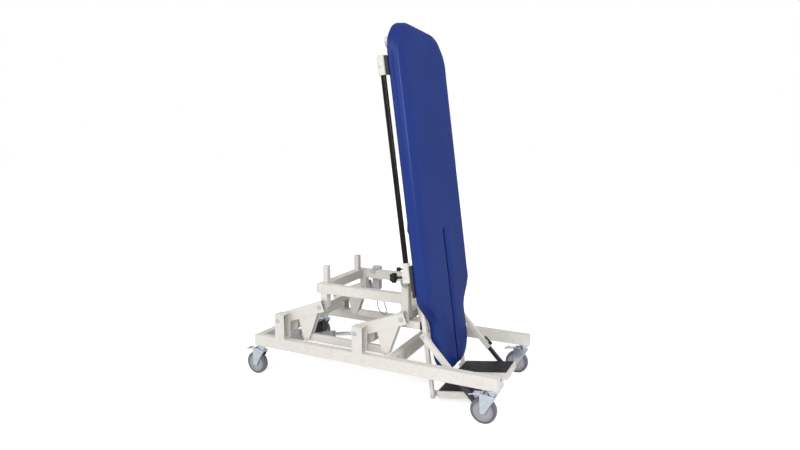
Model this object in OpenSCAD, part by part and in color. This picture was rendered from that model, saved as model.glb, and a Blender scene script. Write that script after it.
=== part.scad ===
// Physiotherapy tilt table: wheeled base, parallelogram lift, level carriage and a padded top that tilts.
// Millimetres, +Z up, floor at Z = 0. Head end towards -X, foot end towards +X, top stood upright.

/* [Base] */
// Length of the base rails
base_length = 1388; // [1200:1:1600]
// Overall width over the base rails
base_width = 686; // [600:1:780]
// Height of the underside of the base rails above the floor
rail_bottom = 168; // [150:1:190]
// Height of a base rail
rail_height = 62; // [50:1:70]
// Width of the steel tube used in the base and carriage
tube_width = 40; // [30:1:50]
// Wall of the steel tubes
tube_wall = 3; // [2:0.5:4]
// Inner face of the foot cross tube of the base, from the middle
mid_cross_x = 159; // [100:1:220]

/* [Casters] */
// Diameter of the caster wheels
wheel_diameter = 125; // [100:1:160]
// Width of the caster wheels
wheel_width = 32; // [24:1:40]
// Distance between the caster stems along the table
caster_spacing = 1328; // [1100:1:1500]
// Distance from the stem back to the wheel's axle
caster_trail = 36; // [20:1:50]

/* [Posts and lift arms] */
// Distance between the head and the foot posts
post_spacing = 486; // [400:1:600]
// Position of the head posts' pivot along the table
head_pivot_x = -535; // [-600:1:-450]
// Height of the lower arm pivots
pivot_z = 332; // [300:1:360]
// Top of the posts
post_top = 368; // [350:1:400]
// Width of a post along the table
post_width = 60; // [40:1:80]
// Depth of a post across the table
post_depth = 58; // [40:1:70]
// Distance between the two pivots of a lift arm
arm_length = 247.8; // [200:0.1:320]
// Rise of the lift arms as stored
arm_angle = 20.8; // [10:0.1:40]
// Height of the tube of a lift arm
arm_height = 60; // [50:1:70]
// Outer face of the lift arms from the middle plane
arm_outer_y = 280; // [260:1:300]

/* [Carriage] */
// Outer face of the carriage rails from the middle plane
carriage_outer_y = 235; // [200:1:260]
// Top of the carriage rails
carriage_top = 536; // [500:1:570]
// Height of the carriage rails
carriage_rail_height = 50; // [40:1:60]
// Head end of the carriage rails
carriage_head_x = -350; // [-400:1:-300]
// Height of the tilt pivot
tilt_z = 598; // [560:1:640]

/* [Tabletop] */
// Angle of the upright top from the horizontal
table_lean = 82.5; // [60:0.1:90]
// Distance from the tilt pivot to the back of the board
board_back = 89; // [60:1:110]
// Half of the tabletop's width
table_half_width = 320; // [280:1:350]
// Distance from the tilt pivot to the head end
head_end = 1270; // [1100:0.5:1400]
// Corner radius at the head end
head_corner = 185; // [80:1:220]
// Half of the width of the narrow foot end
foot_half_width = 200; // [150:1:260]
// Distance from the tilt pivot to the foot end
foot_end = 500; // [440:1:560]
// Corner radius at the foot end
foot_corner = 140; // [80:1:180]
// Thickness of the board under the upholstery
board_thick = 15; // [12:1:20]
// Thickness of the upholstery
pad_thick = 45; // [30:1:60]
// Distance from the tilt pivot to the top of the groove between the legs
groove_top = 236; // [180:1:300]
// Width of the groove between the legs
groove_width = 25; // [15:1:40]

/* [Handrails] */
// Diameter of the handrails
handrail_diameter = 26; // [22:1:34]
// Lower end of a handrail from the tilt pivot
handrail_low = 115; // [80:1:160]
// Upper end of a handrail from the tilt pivot
handrail_high = 1000; // [900:1:1100]

/* [Footplates] */
// Width of one footplate
footplate_width = 181; // [150:1:200]
// Length of one footplate
footplate_length = 292; // [250:1:320]
// Depth of a footplate's frame
footplate_depth = 38; // [30:1:45]
// Tip of the footplates from square
footplate_tip = 1.7; // [0:0.1:5]

/* [Hidden] */
$fn = 48;
fit_gap = 0.05;
seat_gap = 0.3;
eps = 0.01;
// How far a cutter or a buried end runs past the face it meets
lap = 1;
// More thickness on the plates that carry a drive
plate_more = 2;
// The head cross tube of the carriage is this much wider than the others
head_tube_more = 10;
tail_step = 2;
pin_reach = 20;
rocker_dip = 1;

// Base, derived
half_w = base_width / 2;
half_l = base_length / 2;
rail_top = rail_bottom + rail_height;
rail_mid_y = half_w - tube_width / 2;
cap_thick = 3;
stem_x = caster_spacing / 2;
wheel_r = wheel_diameter / 2;
pedal_over = 6;
pedal_tip = caster_trail + wheel_r + pedal_over;
far_head = -stem_x - pedal_tip;
far_foot = half_l + cap_thick;
frame_x = -(far_head + far_foot) / 2;
stem_r = 6;
stem_up = 18;
disc_r = 26;
disc_low = 160;
neck_r = 17;
crown_low = 134;
crown_high = 141;
crown_front = 22;
crown_back = 36;
cheek_out = 22;
cheek_in = 19;
cheek_end_r = 14;
axle_r = 5;
axle_head_r = 8;
axle_head = 3;
hub_r = 34;
hub_face = 3;
hub_boss_r = 13;
tyre_round = 7;
pedal_x = 47;
pedal_z = 143;
pedal_pin_r = 3;
pedal_barrel_r = 6;
pedal_half = 16;
pedal_thick = 4;
pedal_drop = 7;
toe_len = 20;
toe_half = 22;

// Posts and arms, derived
foot_pivot_x = head_pivot_x + post_spacing;
post_back = 18;
post_wall = 4;
post_in = half_w - post_depth;
bolt_r = 8;
bolt_head_r = 13;
bolt_head = 4;
bolt_facets = 6;
arm_inner_y = arm_outer_y - tube_width;
arm_end = 22;
cheek_thick = 10;
inner_cheek = 4;
root_clear = 60;
root_r = arm_height / 2;
cross_size = 50;
cross_u = 5;
cross_v = 56;
outer_cross_near = 48;
outer_cross_len = 32;
outer_cross_deep = 30;
lever_x = 143;
lever_z = 93;
lever_u = lever_x * cos(arm_angle) - lever_z * sin(arm_angle);
lever_v = lever_x * sin(arm_angle) + lever_z * cos(arm_angle);
lever_left = 92;
lever_right = 222;
lever_tip_r = 20;
lever_edge_x = 18;
lever_edge_z = 9;
lever_plate = 6;
lever_bolt_r = 6;
lever_head_r = 10;
lever_head = 5;
bar_in = 246;
bar_out = 266;
bar_height = 40;
bar_end = 20;
link_gap = 0.5;
end_x = arm_length * cos(arm_angle);
end_z = arm_length * sin(arm_angle);
arm_pins = [head_pivot_x, foot_pivot_x];

// Lift drive, derived
drive_y = -150;
drive_rear_x = -638;
drive_rear_z = 176;
drive_end_x = -110;
drive_end_z = 265;
drive_dx = drive_end_x - drive_rear_x;
drive_dz = drive_end_z - drive_rear_z;
drive_len = sqrt(drive_dx * drive_dx + drive_dz * drive_dz);
drive_angle = atan2(drive_dz, drive_dx);
drive_half = 11;
drive_eye_r = 13;
drive_pin_r = 6;
drive_motor_r = 34;
drive_motor_start = 40;
drive_motor_end = 130;
drive_tube_r = 19;
drive_tube_end = 350;
drive_rod_r = 10;
drive_rod_gap = 0.08;
drive_rod_in = 75;
drive_bore_start = 150;
gear_start = 212;
gear_end = 284;
gear_low = 12;
gear_high = 80;
gear_half = 33;
gear_cap_r = 26;
gear_cap = 12;
ear_thick = 6;
ear_gap = 1;
side_gap = 0.3;
eye_thick = 21;
lift_lever_r = 16;

// Tilt drive, derived
tilt_rear = 430;
tilt_rear_w = 20;
tilt_arm = 35.4;
tilt_end_x = tilt_arm * (sin(table_lean) - cos(table_lean));
tilt_end_w = -tilt_arm * (sin(table_lean) + cos(table_lean));
tilt_dx = tilt_rear + tilt_end_x;
tilt_dw = tilt_end_w - tilt_rear_w;
tilt_len = sqrt(tilt_dx * tilt_dx + tilt_dw * tilt_dw);
tilt_angle = atan2(-tilt_dw, tilt_dx);
tilt_tube_end = 345;
tilt_gear_start = 140;
tilt_gear_end = 205;
tilt_gear_high = 46;

// Carriage, derived
frame_deep = 60;
post_size = 20;
post_tube_wall = 2;
post_w0 = board_back - post_size;
carriage_in = carriage_outer_y - tube_width;
carriage_low = carriage_top - carriage_rail_height;
leg_half = tube_width / 2;
head_leg_x = head_pivot_x + end_x;
foot_leg_x = foot_pivot_x + end_x;
leg_pivot_z = pivot_z + end_z;
tilt_x = foot_leg_x;
stop_low = 366;
stop_high = 404;
stop_start = 190;
stop_end = 266;
stop_gap = 0.35;
stop_reach = (tilt_z - stop_high + post_w0 * cos(table_lean)) / sin(table_lean);
buffer_end = tilt_x + stop_reach * cos(table_lean) + post_w0 * sin(table_lean) - stop_gap;
buffer_inset = 3;
stub_y = 168;
stub_x = -325;
stub_size = 30;
stub_top = tilt_z + board_back - frame_deep - seat_gap;
foot_cross_low = 400;
foot_cross_high = 440;
spacer_r = 14;
disc_head_r = 22;
disc_head = 8;
tilt_pin_r = 10;
bracket_top_r = 16;
bracket_base = 18;
clip_x = -196;
clip_y = 212;
clip_size = 12;

// Table, derived
frame_y = 145;
frame_end = 262;
frame_head = 1090;
ear_y = 185;
ear_t = 8;
ear_r = 24;
ear_half = 60;
ear_up = 80;
ear_low = 10;
cross_deep = 30;
board_inset = 8;
corner_steps = 18;
// Depth of the shallower cross tube over the rear eye of the tilt drive
rear_cross_deep = 48;
shoulder_start = 70;
shoulder_end = 240;
shoulder_steps = 12;
pad_back = board_back + board_thick;
pad_top = pad_back + pad_thick;
groove_deep = 40;
strip_thick = 12;
strip_in = 285;
strip_out = 343;
strip_head = 1100;
strip_head_len = 100;
strip_foot_start = 100;
strip_foot_end = 60;
strip_lengths = [[-strip_foot_start, strip_foot_end], [-strip_head, strip_head_len - strip_head]];
// Where the two middle cross tubes of the top's frame start
frame_cross_back = 740;
frame_cross_foot = 60;
rail_y = 326;
rail_w = 63;
bracket_out = 341;
socket_in = 311;
socket_low = 50;
clamp_in = 305;
clamp_start = handrail_low;
clamp_mid = 75;
clamp_end = 18;
clamp_low = 42;
bracket_low = 46;
bracket_end = 1092;
bracket_bolt_x = 1046;
bracket_bolt_w = 62;
clamp_bolt_x = 50;
clamp_bolt_w = 60;
clamp_bolt_r = 9;
clamp_bolt_head = 5;
clamp_mid_y = 327;
star_x = 44;
star_r = 18;
star_y = 321;
star_lobe_r = 7.5;
star_lobes = 5;
star_low = -25;
star_high = -3;
star_stem_r = 6;
plunger_x = 86;
plunger_r = 10;
plunger_low = 14;
plunger_high = 30;
plunger_stem_r = 4;
plunger_travel = 8;
bumper_x = 1158;
bumper_y = 268;
bumper_r = 30;
bumper_thick = 15;

// Foot assemblies, derived
post_x0 = 120;
post_x1 = 594;
post_y0 = 222;
post_y1 = 242;
hinge_x = 580;
hinge_w = post_w0 + post_size / 2;
hinge_r = 6;
hinge_head_r = 10;
hinge_head = 5;
plate_x = 557.3;
plate_w = 100.6;
plate_y = 40;
plate_skin = 5;
plate_rim = 5;
tread_thick = 3;
tread_inset = 8;
lug_y0 = 196;
lug_y1 = 206;
lug_r = 14;
strut_x = 268;
strut_w = post_w0 + post_size / 2;
strut_y0 = 243;
strut_y1 = 268;
strut_wall = 2.5;
strut_mid_y = (strut_y0 + strut_y1) / 2;
strut_low_x = 578;
strut_low_w = 303;
strut_dx = strut_low_x - strut_x;
strut_dw = strut_low_w - strut_w;
strut_len = sqrt(strut_dx * strut_dx + strut_dw * strut_dw);
strut_angle = atan2(strut_dw, strut_dx);
strut_eye_r = 13;
strut_half = (strut_y1 - strut_y0) / 2;
strut_head = 14;
strut_tube_end = 272;
strut_bore_start = 30;
rod_half = strut_half - strut_wall - fit_gap;
strut_rod_in = 90;
collar_half = 15;
collar_len = 30;
button_x = 30.5;
// Start of the row of holes in the rod
rod_hole_x = 22;
button_r = 4;
button_high = 3;
button_pitch = 22;
button_holes = 3;
knob_u = 257;
knob_stem_r = 4;
knob_low = collar_half;
knob_high = collar_half + 15;
knob_r = 10;
knob_lever = 46;
knob_lever_r = 5;

// Handset, derived
handset_x0 = -260;
handset_x1 = -206;
handset_y0 = 237;
handset_y1 = 263;
handset_z0 = 408;
handset_z1 = 553;
handset_round = 9;
hook_thick = 3;
hook_x0 = -250;
hook_x1 = -216;
hook_drop = 20;
rocker_half = 12;
rocker_high = 9;
rocker_out = 3;
rocker_deep = 3.3;
rocker_gap = 0.5;
rocker_z = [528, 502];
gland_r = 4;
gland_len = 8;
cord_r = 2.5;
cord_sides = 8;
cord_points = [[-233, 250, 400], [-232, 248, 375], [-228, 239, 348], [-221, 227, 322], [-208, 214, 298],
    [-188, 206, 278], [-168, 202, 268], [-150, 200, 270], [-142, 200, 284], [-148, 202, 306], [-160, 204, 334],
    [-174, 206, 366], [-186, 208, 402], [-194, 210, 438], [-196, 212, 460], [-196, 212, 474]];
cord_fill = 4;

cream = [0.90, 0.88, 0.82];
navy = [0.12, 0.17, 0.42];
black = [0.07, 0.07, 0.08];
grey = [0.55, 0.57, 0.58];
steel = [0.74, 0.75, 0.77];
pale = [0.80, 0.81, 0.80];

// Everything is placed so that the middle of the whole table is at the origin
module placed() {
    translate([frame_x, 0, 0]) children();
}

// The given thing on both sides
module both() {
    for (s = [0, 1]) mirror([0, s, 0]) children();
}

// Box from one corner to the other
module span(a, b) {
    translate([min(a[0], b[0]), min(a[1], b[1]), min(a[2], b[2])])
        cube([abs(b[0] - a[0]), abs(b[1] - a[1]), abs(b[2] - a[2])]);
}

// Hollow tube from one corner to the other, open along the given axis (0 = X, 1 = Y, 2 = Z)
module tube_span(a, b, along, wall) {
    lo = [min(a[0], b[0]), min(a[1], b[1]), min(a[2], b[2])];
    hi = [max(a[0], b[0]), max(a[1], b[1]), max(a[2], b[2])];
    difference() {
        span(lo, hi);
        span([for (i = [0:2]) lo[i] + (i == along ? -1 : wall)], [for (i = [0:2]) hi[i] - (i == along ? -1 : wall)]);
    }
}

// Round bar along Y between two positions
module pin_y(x, y0, y1, z, r) {
    translate([x, min(y0, y1), z]) rotate([-90, 0, 0]) cylinder(r = r, h = abs(y1 - y0));
}

// Hexagon head along Y between two positions
module hex_y(x, y0, y1, z, r) {
    translate([x, min(y0, y1), z]) rotate([-90, 0, 0]) cylinder(r = r, h = abs(y1 - y0), $fn = bolt_facets);
}

// Plate in the XZ plane between two positions along Y
module plate_y(y0, y1) {
    translate([0, max(y0, y1), 0]) rotate([90, 0, 0]) linear_extrude(abs(y1 - y0)) children();
}

// ---- Base ----

module base_rails() {
    color(cream) placed() both() difference() {
        tube_span([-half_l, half_w - tube_width, rail_bottom], [half_l, half_w, rail_top], 0, tube_wall);
        for (s = [-1, 1]) translate([s * stem_x, rail_mid_y, rail_bottom - lap])
            cylinder(r = stem_r + fit_gap, h = tube_wall + 2 * lap);
    }
}

module lift_ears() {
    for (s = [-1, 1]) plate_y(drive_y + s * (drive_half + ear_gap), drive_y + s * (drive_half + ear_gap + ear_thick))
        difference() {
            union() {
                translate([drive_rear_x, drive_rear_z]) circle(r = drive_eye_r);
                polygon([[-half_l + tube_width - lap, rail_bottom], [-half_l + tube_width - lap, rail_bottom + tube_width],
                    [drive_rear_x, drive_rear_z + drive_eye_r], [drive_rear_x, drive_rear_z - drive_eye_r]]);
            }
            translate([drive_rear_x, drive_rear_z]) circle(r = drive_pin_r);
        }
}

module base_cross_tubes() {
    color(cream) placed() {
        union() {
            tube_span([-half_l, -half_w + tube_width, rail_bottom], [-half_l + tube_width, half_w - tube_width, rail_top],
                1, tube_wall);
            lift_ears();
        }
        tube_span([mid_cross_x - tube_width, -half_w + tube_width, rail_bottom],
            [mid_cross_x, half_w - tube_width, rail_top], 1, tube_wall);
    }
}

module base_end_caps() {
    color(black) placed() both() for (s = [-1, 1]) {
        span([s * half_l, half_w - tube_width, rail_bottom], [s * (half_l + cap_thick), half_w, rail_top]);
        span([s * (half_l - cap_thick), half_w - tube_width + tube_wall, rail_bottom + tube_wall],
            [s * half_l, half_w - tube_wall, rail_top - tube_wall]);
    }
}

// One post: a channel open towards the foot end
module post_one(px) {
    x0 = px - post_back;
    difference() {
        span([x0, post_in, rail_top], [x0 + post_width, half_w, post_top]);
        span([x0 + post_wall, post_in + post_wall, rail_top + post_wall],
            [x0 + post_width + lap, half_w - post_wall, post_top - post_wall]);
        pin_y(px, post_in - 1, half_w + 1, pivot_z, bolt_r);
    }
}

module base_posts() {
    color(cream) placed() both() for (px = arm_pins) post_one(px);
}

module base_pivot_bolts() {
    color(steel) placed() both() {
        for (px = arm_pins) {
            pin_y(px, arm_outer_y - cheek_thick, half_w, pivot_z, bolt_r);
            hex_y(px, half_w, half_w + bolt_head, pivot_z, bolt_head_r);
        }
    }
    color(steel) placed() pin_y(drive_rear_x, drive_y - drive_half - ear_gap - ear_thick,
        drive_y + drive_half + ear_gap + ear_thick, drive_rear_z, drive_pin_r);
}

// ---- Casters, each modelled at its stem ----

module at_caster(end, side) {
    placed() translate([end * stem_x, side * rail_mid_y, 0]) children();
}

module fork_one() {
    translate([0, 0, disc_low]) cylinder(r = disc_r, h = rail_bottom - seat_gap - disc_low);
    translate([0, 0, crown_low]) cylinder(r = neck_r, h = rail_bottom - seat_gap - crown_low);
    translate([0, 0, disc_low]) cylinder(r = stem_r, h = rail_bottom + stem_up - disc_low);
    span([-crown_back, -cheek_out, crown_low], [crown_front, cheek_out, crown_high]);
    both() plate_y(cheek_in, cheek_out) {
        polygon([[crown_front, crown_low], [crown_front, crown_high], [-pedal_x, pedal_z + pedal_barrel_r],
            [-pedal_x - pedal_barrel_r, pedal_z], [-caster_trail - cheek_end_r, wheel_r],
            [-caster_trail + cheek_end_r, wheel_r]]);
        translate([-caster_trail, wheel_r]) circle(r = cheek_end_r);
    }
    pin_y(-caster_trail, -cheek_out, cheek_out, wheel_r, axle_r);
    both() hex_y(-caster_trail, cheek_out, cheek_out + axle_head, wheel_r, axle_head_r);
    pin_y(-pedal_x, -cheek_in - 1, cheek_in + 1, pedal_z, pedal_pin_r);
}

module wheel_one() {
    translate([-caster_trail, 0, wheel_r]) rotate([90, 0, 0]) rotate_extrude() difference() {
        union() {
            translate([0, -wheel_width / 2 + tyre_round]) square([wheel_r, wheel_width - 2 * tyre_round]);
            translate([0, -wheel_width / 2]) square([wheel_r - tyre_round, wheel_width]);
            for (s = [-1, 1]) translate([wheel_r - tyre_round, s * (wheel_width / 2 - tyre_round)]) circle(r = tyre_round);
        }
        translate([-wheel_r, -wheel_width]) square([wheel_r + axle_r + fit_gap, 2 * wheel_width]);
        for (s = [-1, 1]) translate([hub_boss_r, s * (wheel_width / 2 - hub_face / 2) - hub_face / 2 - eps])
            square([hub_r, hub_face + 2 * eps]);
    }
}

module pedal_one() {
    difference() {
        union() {
            pin_y(-pedal_x, -pedal_half, pedal_half, pedal_z, pedal_barrel_r);
            plate_y(-pedal_half, pedal_half) polygon([[-pedal_x, pedal_z - pedal_thick / 2], [-pedal_x, pedal_z + pedal_thick / 2],
                [-pedal_tip, pedal_z + pedal_thick / 2 - pedal_drop], [-pedal_tip, pedal_z - pedal_thick / 2 - pedal_drop]]);
            plate_y(-toe_half, toe_half) polygon([[-pedal_tip + toe_len, pedal_z - pedal_thick], [-pedal_tip + toe_len, pedal_z + lap],
                [-pedal_tip, pedal_z + lap - pedal_drop], [-pedal_tip, pedal_z - pedal_thick - pedal_drop]]);
        }
        pin_y(-pedal_x, -toe_half, toe_half, pedal_z, pedal_pin_r + fit_gap);
    }
}

module fork_head_near() { color(grey) at_caster(-1, -1) fork_one(); }
module fork_head_far() { color(grey) at_caster(-1, 1) fork_one(); }
module fork_foot_near() { color(grey) at_caster(1, -1) fork_one(); }
module fork_foot_far() { color(grey) at_caster(1, 1) fork_one(); }
module wheel_head_near() { color(black) at_caster(-1, -1) wheel_one(); }
module wheel_head_far() { color(black) at_caster(-1, 1) wheel_one(); }
module wheel_foot_near() { color(black) at_caster(1, -1) wheel_one(); }
module wheel_foot_far() { color(black) at_caster(1, 1) wheel_one(); }
module pedal_head_near() { color(black) at_caster(-1, -1) pedal_one(); }
module pedal_head_far() { color(black) at_caster(-1, 1) pedal_one(); }
module pedal_foot_near() { color(black) at_caster(1, -1) pedal_one(); }
module pedal_foot_far() { color(black) at_caster(1, 1) pedal_one(); }

// ---- Lift arms, each modelled along X from its lower pivot ----

module at_arm(px) {
    placed() translate([px, 0, pivot_z]) rotate([0, -arm_angle, 0]) children();
}

module arm_pair() {
    difference() {
        union() {
            both() tube_span([root_clear, arm_inner_y, -root_r], [arm_length + arm_end, arm_outer_y, root_r], 0, tube_wall);
            both() plate_y(arm_outer_y - cheek_thick, arm_outer_y) {
                circle(r = root_r);
                translate([0, -root_r]) square([root_clear + eps, arm_height]);
            }
            both() plate_y(arm_inner_y, arm_inner_y + inner_cheek)
                polygon([[cross_u - cross_size / 2, -cross_v - cross_size / 2], [cross_u + cross_size / 2, -cross_v - cross_size / 2],
                    [root_clear + eps, -root_r], [root_clear + eps, root_r], [cross_u - cross_size / 2, root_r]]);
            tube_span([cross_u - cross_size / 2, -arm_inner_y - eps, -cross_v - cross_size / 2],
                [cross_u + cross_size / 2, arm_inner_y + eps, -cross_v + cross_size / 2], 1, tube_wall);
            tube_span([arm_length - outer_cross_near - outer_cross_len, -arm_inner_y - eps, -outer_cross_deep],
                [arm_length - outer_cross_near, arm_inner_y + eps, 0], 1, tube_wall);
        }
        both() pin_y(0, arm_inner_y - lap, arm_outer_y + lap, 0, bolt_r + fit_gap);
        both() pin_y(arm_length, arm_inner_y - lap, arm_outer_y + lap, 0, bolt_r + fit_gap);
    }
}

module lever_shape() {
    difference() {
        union() {
            translate([lever_u, -lever_v]) circle(r = lever_tip_r);
            polygon([[lever_left, -root_r], [lever_right, -root_r], [lever_u + lever_edge_x, -lever_v - lever_edge_z],
                [lever_u - lever_tip_r + lap, -lever_v + lever_edge_z / 2]]);
        }
        translate([lever_u, -lever_v]) circle(r = lever_bolt_r);
    }
}

module lever_set() {
    both() {
        plate_y(arm_outer_y - lever_plate, arm_outer_y) lever_shape();
        plate_y(arm_inner_y, arm_inner_y + inner_cheek) lever_shape();
        pin_y(lever_u, arm_inner_y, arm_outer_y, -lever_v, lever_bolt_r);
        hex_y(lever_u, arm_outer_y, arm_outer_y + lever_head, -lever_v, lever_head_r);
        hex_y(lever_u, arm_inner_y - lever_head, arm_inner_y, -lever_v, lever_head_r);
    }
}

module head_arms() { color(cream) at_arm(head_pivot_x) arm_pair(); }
module foot_arms() { color(cream) at_arm(foot_pivot_x) arm_pair(); }
module head_levers() { color(cream) at_arm(head_pivot_x) lever_set(); }

// The lever that the lift drive pushes, on the inner cross tube of the foot arms
module lift_lever() {
    ex = drive_end_x - foot_pivot_x;
    ez = drive_end_z - pivot_z;
    lu = ex * cos(arm_angle) + ez * sin(arm_angle);
    lv = -ex * sin(arm_angle) + ez * cos(arm_angle);
    y0 = drive_y + eye_thick / 2 + side_gap;
    plate_y(y0, y0 + lever_plate + plate_more) {
        translate([lu, lv]) circle(r = lift_lever_r);
        polygon([[lu, lv + lift_lever_r], [lu, lv - lift_lever_r],
            [cross_u - cross_size / 2, -cross_v - cross_size / 2], [cross_u - cross_size / 2, -cross_v + cross_size / 2]]);
    }
}

module foot_levers() {
    color(cream) at_arm(foot_pivot_x) {
        lever_set();
        lift_lever();
    }
}

module link_bars() {
    color(cream) placed() both() difference() {
        union() {
            span([head_pivot_x + lever_x, bar_in, pivot_z - lever_z - bar_height / 2],
                [foot_pivot_x + lever_x, bar_out, pivot_z - lever_z + bar_height / 2]);
            for (px = arm_pins) pin_y(px + lever_x, bar_in, bar_out, pivot_z - lever_z, bar_end);
        }
        pin_y(head_pivot_x + lever_x, bar_in - 1, bar_out + 1, pivot_z - lever_z, lever_bolt_r + fit_gap);
        pin_y(foot_pivot_x + lever_x, bar_in - 1, bar_out + 1, pivot_z - lever_z, lever_bolt_r + link_gap);
    }
}

// ---- Carriage ----

module carriage_rails() {
    color(cream) placed() {
        both() tube_span([carriage_head_x, carriage_in, carriage_low], [foot_leg_x - leg_half, carriage_outer_y, carriage_top],
            0, tube_wall);
        span([clip_x - clip_size / 2, clip_y - clip_size / 2, carriage_low - clip_size],
            [clip_x + clip_size / 2, clip_y + clip_size / 2, carriage_low]);
    }
}

// Ears that hold the rod of the tilt drive
module tilt_ear() {
    ex = tilt_x - tilt_arm;
    ez = tilt_z - tilt_arm;
    y0 = eye_thick / 2 + side_gap;
    plate_y(y0, y0 + ear_thick + plate_more) {
        translate([ex, ez]) circle(r = bracket_top_r);
        polygon([[ex - bracket_top_r, ez], [ex + bracket_top_r, ez], [foot_leg_x + bracket_base, foot_cross_high],
            [foot_leg_x - bracket_base, foot_cross_high]]);
    }
}

module carriage_cross_tubes() {
    color(cream) placed() {
        tube_span([carriage_head_x, -carriage_in, carriage_low], [carriage_head_x + tube_width + head_tube_more, carriage_in, carriage_top],
            1, tube_wall);
        union() {
            tube_span([foot_leg_x - leg_half, -carriage_in, foot_cross_low], [foot_leg_x + leg_half, carriage_in, foot_cross_high],
                1, tube_wall);
            tilt_ear();
        }
    }
}

module carriage_legs() {
    color(cream) placed() both() difference() {
        union() {
            span([head_leg_x - leg_half, carriage_in, leg_pivot_z], [head_leg_x + leg_half, carriage_outer_y, carriage_low]);
            span([foot_leg_x - leg_half, carriage_in, leg_pivot_z], [foot_leg_x + leg_half, carriage_outer_y, tilt_z]);
            for (x = [head_leg_x, foot_leg_x]) pin_y(x, carriage_in, carriage_outer_y, leg_pivot_z, leg_half);
            pin_y(tilt_x, carriage_in, carriage_outer_y, tilt_z, leg_half);
            tube_span([stop_start, carriage_in, stop_low], [stop_end, carriage_outer_y, stop_high], 0, tube_wall);
        }
        for (x = [head_leg_x, foot_leg_x]) pin_y(x, carriage_in - 1, carriage_outer_y + 1, leg_pivot_z, bolt_r);
        pin_y(tilt_x, carriage_in - 1, carriage_outer_y + 1, tilt_z, tilt_pin_r);
    }
}

module stop_buffers() {
    color(black) placed() both() {
        span([stop_end, carriage_in, stop_low], [buffer_end, carriage_outer_y, stop_high]);
        span([stop_end - cap_thick, carriage_in + tube_wall, stop_low + tube_wall],
            [stop_end, carriage_outer_y - tube_wall, stop_high - tube_wall]);
    }
}

module rest_stubs() {
    color(cream) placed() both() span([stub_x - stub_size / 2, stub_y - stub_size / 2, carriage_top],
        [stub_x + stub_size / 2, stub_y + stub_size / 2, stub_top]);
}

module carriage_pivot_bolts() {
    color(steel) placed() both() for (x = [head_leg_x, foot_leg_x]) {
        pin_y(x, carriage_in, arm_outer_y + side_gap, leg_pivot_z, bolt_r);
        pin_y(x, carriage_outer_y, arm_inner_y - side_gap, leg_pivot_z, spacer_r);
        hex_y(x, arm_outer_y + side_gap, arm_outer_y + side_gap + bolt_head, leg_pivot_z, bolt_head_r);
        hex_y(x, carriage_in - bolt_head, carriage_in, leg_pivot_z, bolt_head_r);
    }
}

module tilt_pivot_pins() {
    color(grey) placed() both() {
        pin_y(tilt_x, ear_y - 2 * lap, carriage_outer_y, tilt_z, tilt_pin_r);
        pin_y(tilt_x, carriage_outer_y, carriage_outer_y + disc_head, tilt_z, disc_head_r);
    }
}

// ---- Handset and its cord ----

module handset() {
    color(grey) placed() difference() {
        union() {
            span([handset_x0 + handset_round, handset_y0, handset_z0], [handset_x1 - handset_round, handset_y1, handset_z1]);
            span([handset_x0, handset_y0, handset_z0 + handset_round], [handset_x1, handset_y1, handset_z1 - handset_round]);
            for (x = [handset_x0 + handset_round, handset_x1 - handset_round])
                for (z = [handset_z0 + handset_round, handset_z1 - handset_round])
                    pin_y(x, handset_y0, handset_y1, z, handset_round);
            span([hook_x0, carriage_in - seat_gap - hook_thick, carriage_top + seat_gap],
                [hook_x1, handset_y0 + lap, carriage_top + seat_gap + hook_thick]);
            span([hook_x0, carriage_in - seat_gap - hook_thick, carriage_top - hook_drop],
                [hook_x1, carriage_in - seat_gap, carriage_top + seat_gap + hook_thick]);
            translate([cord_points[0][0], cord_points[0][1], cord_points[0][2]]) cylinder(r = gland_r, h = gland_len + lap);
        }
        for (z = rocker_z) span([(handset_x0 + handset_x1) / 2 - rocker_half - rocker_gap, handset_y1 - rocker_deep, z - rocker_high - rocker_gap],
            [(handset_x0 + handset_x1) / 2 + rocker_half + rocker_gap, handset_y1 + lap, z + rocker_high + rocker_gap]);
    }
}

module rocker_one(z) {
    mid = (handset_x0 + handset_x1) / 2;
    placed() translate([mid, handset_y1, z]) rotate([90, 0, 90]) translate([0, 0, -rocker_half]) linear_extrude(2 * rocker_half) {
        circle(r = rocker_out);
        polygon([[-rocker_out, 0], [-rocker_out + rocker_dip, -rocker_high], [0, -rocker_high], [rocker_out, -rocker_high],
            [rocker_out - rocker_dip, 0], [rocker_out, rocker_high], [0, rocker_high], [-rocker_out + rocker_dip, rocker_high]]);
    }
}

module lift_rocker() { color(black) rocker_one(rocker_z[0]); }
module tilt_rocker() { color(black) rocker_one(rocker_z[1]); }

// Smooth run through the chosen points
function on_curve(p, i, t) =
    let (a = p[max(i - 1, 0)], b = p[i], c = p[i + 1], d = p[min(i + 2, len(p) - 1)])
    0.5 * (2 * b + (c - a) * t + (2 * a - 5 * b + 4 * c - d) * t * t + (3 * b - 3 * c + d - a) * t * t * t);

module cord_tube(points, r, sides) {
    path = [for (i = [0:len(points) - 2]) for (k = [0:cord_fill - 1]) on_curve(points, i, k / cord_fill), points[len(points) - 1]];
    n = len(path);
    ring = [for (i = [0:n - 1])
        let (t = path[min(i + 1, n - 1)] - path[max(i - 1, 0)], u = t / norm(t),
            s = cross(u, [0.3, 0.9, 0.1]), a = s / norm(s), b = cross(a, u))
        for (k = [0:sides - 1]) path[i] + r * (a * cos(360 * k / sides) + b * sin(360 * k / sides))];
    sidesf = [for (i = [0:n - 2]) for (k = [0:sides - 1])
        [i * sides + k, i * sides + (k + 1) % sides, (i + 1) * sides + (k + 1) % sides, (i + 1) * sides + k]];
    caps = [[for (k = [0:sides - 1]) sides - 1 - k], [for (k = [0:sides - 1]) (n - 1) * sides + k]];
    polyhedron(points = ring, faces = concat(sidesf, caps), convexity = 4);
}

module handset_cord() { color(grey) placed() cord_tube(cord_points, cord_r, cord_sides); }

// ---- Drives, each modelled along X from its rear pivot ----

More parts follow.
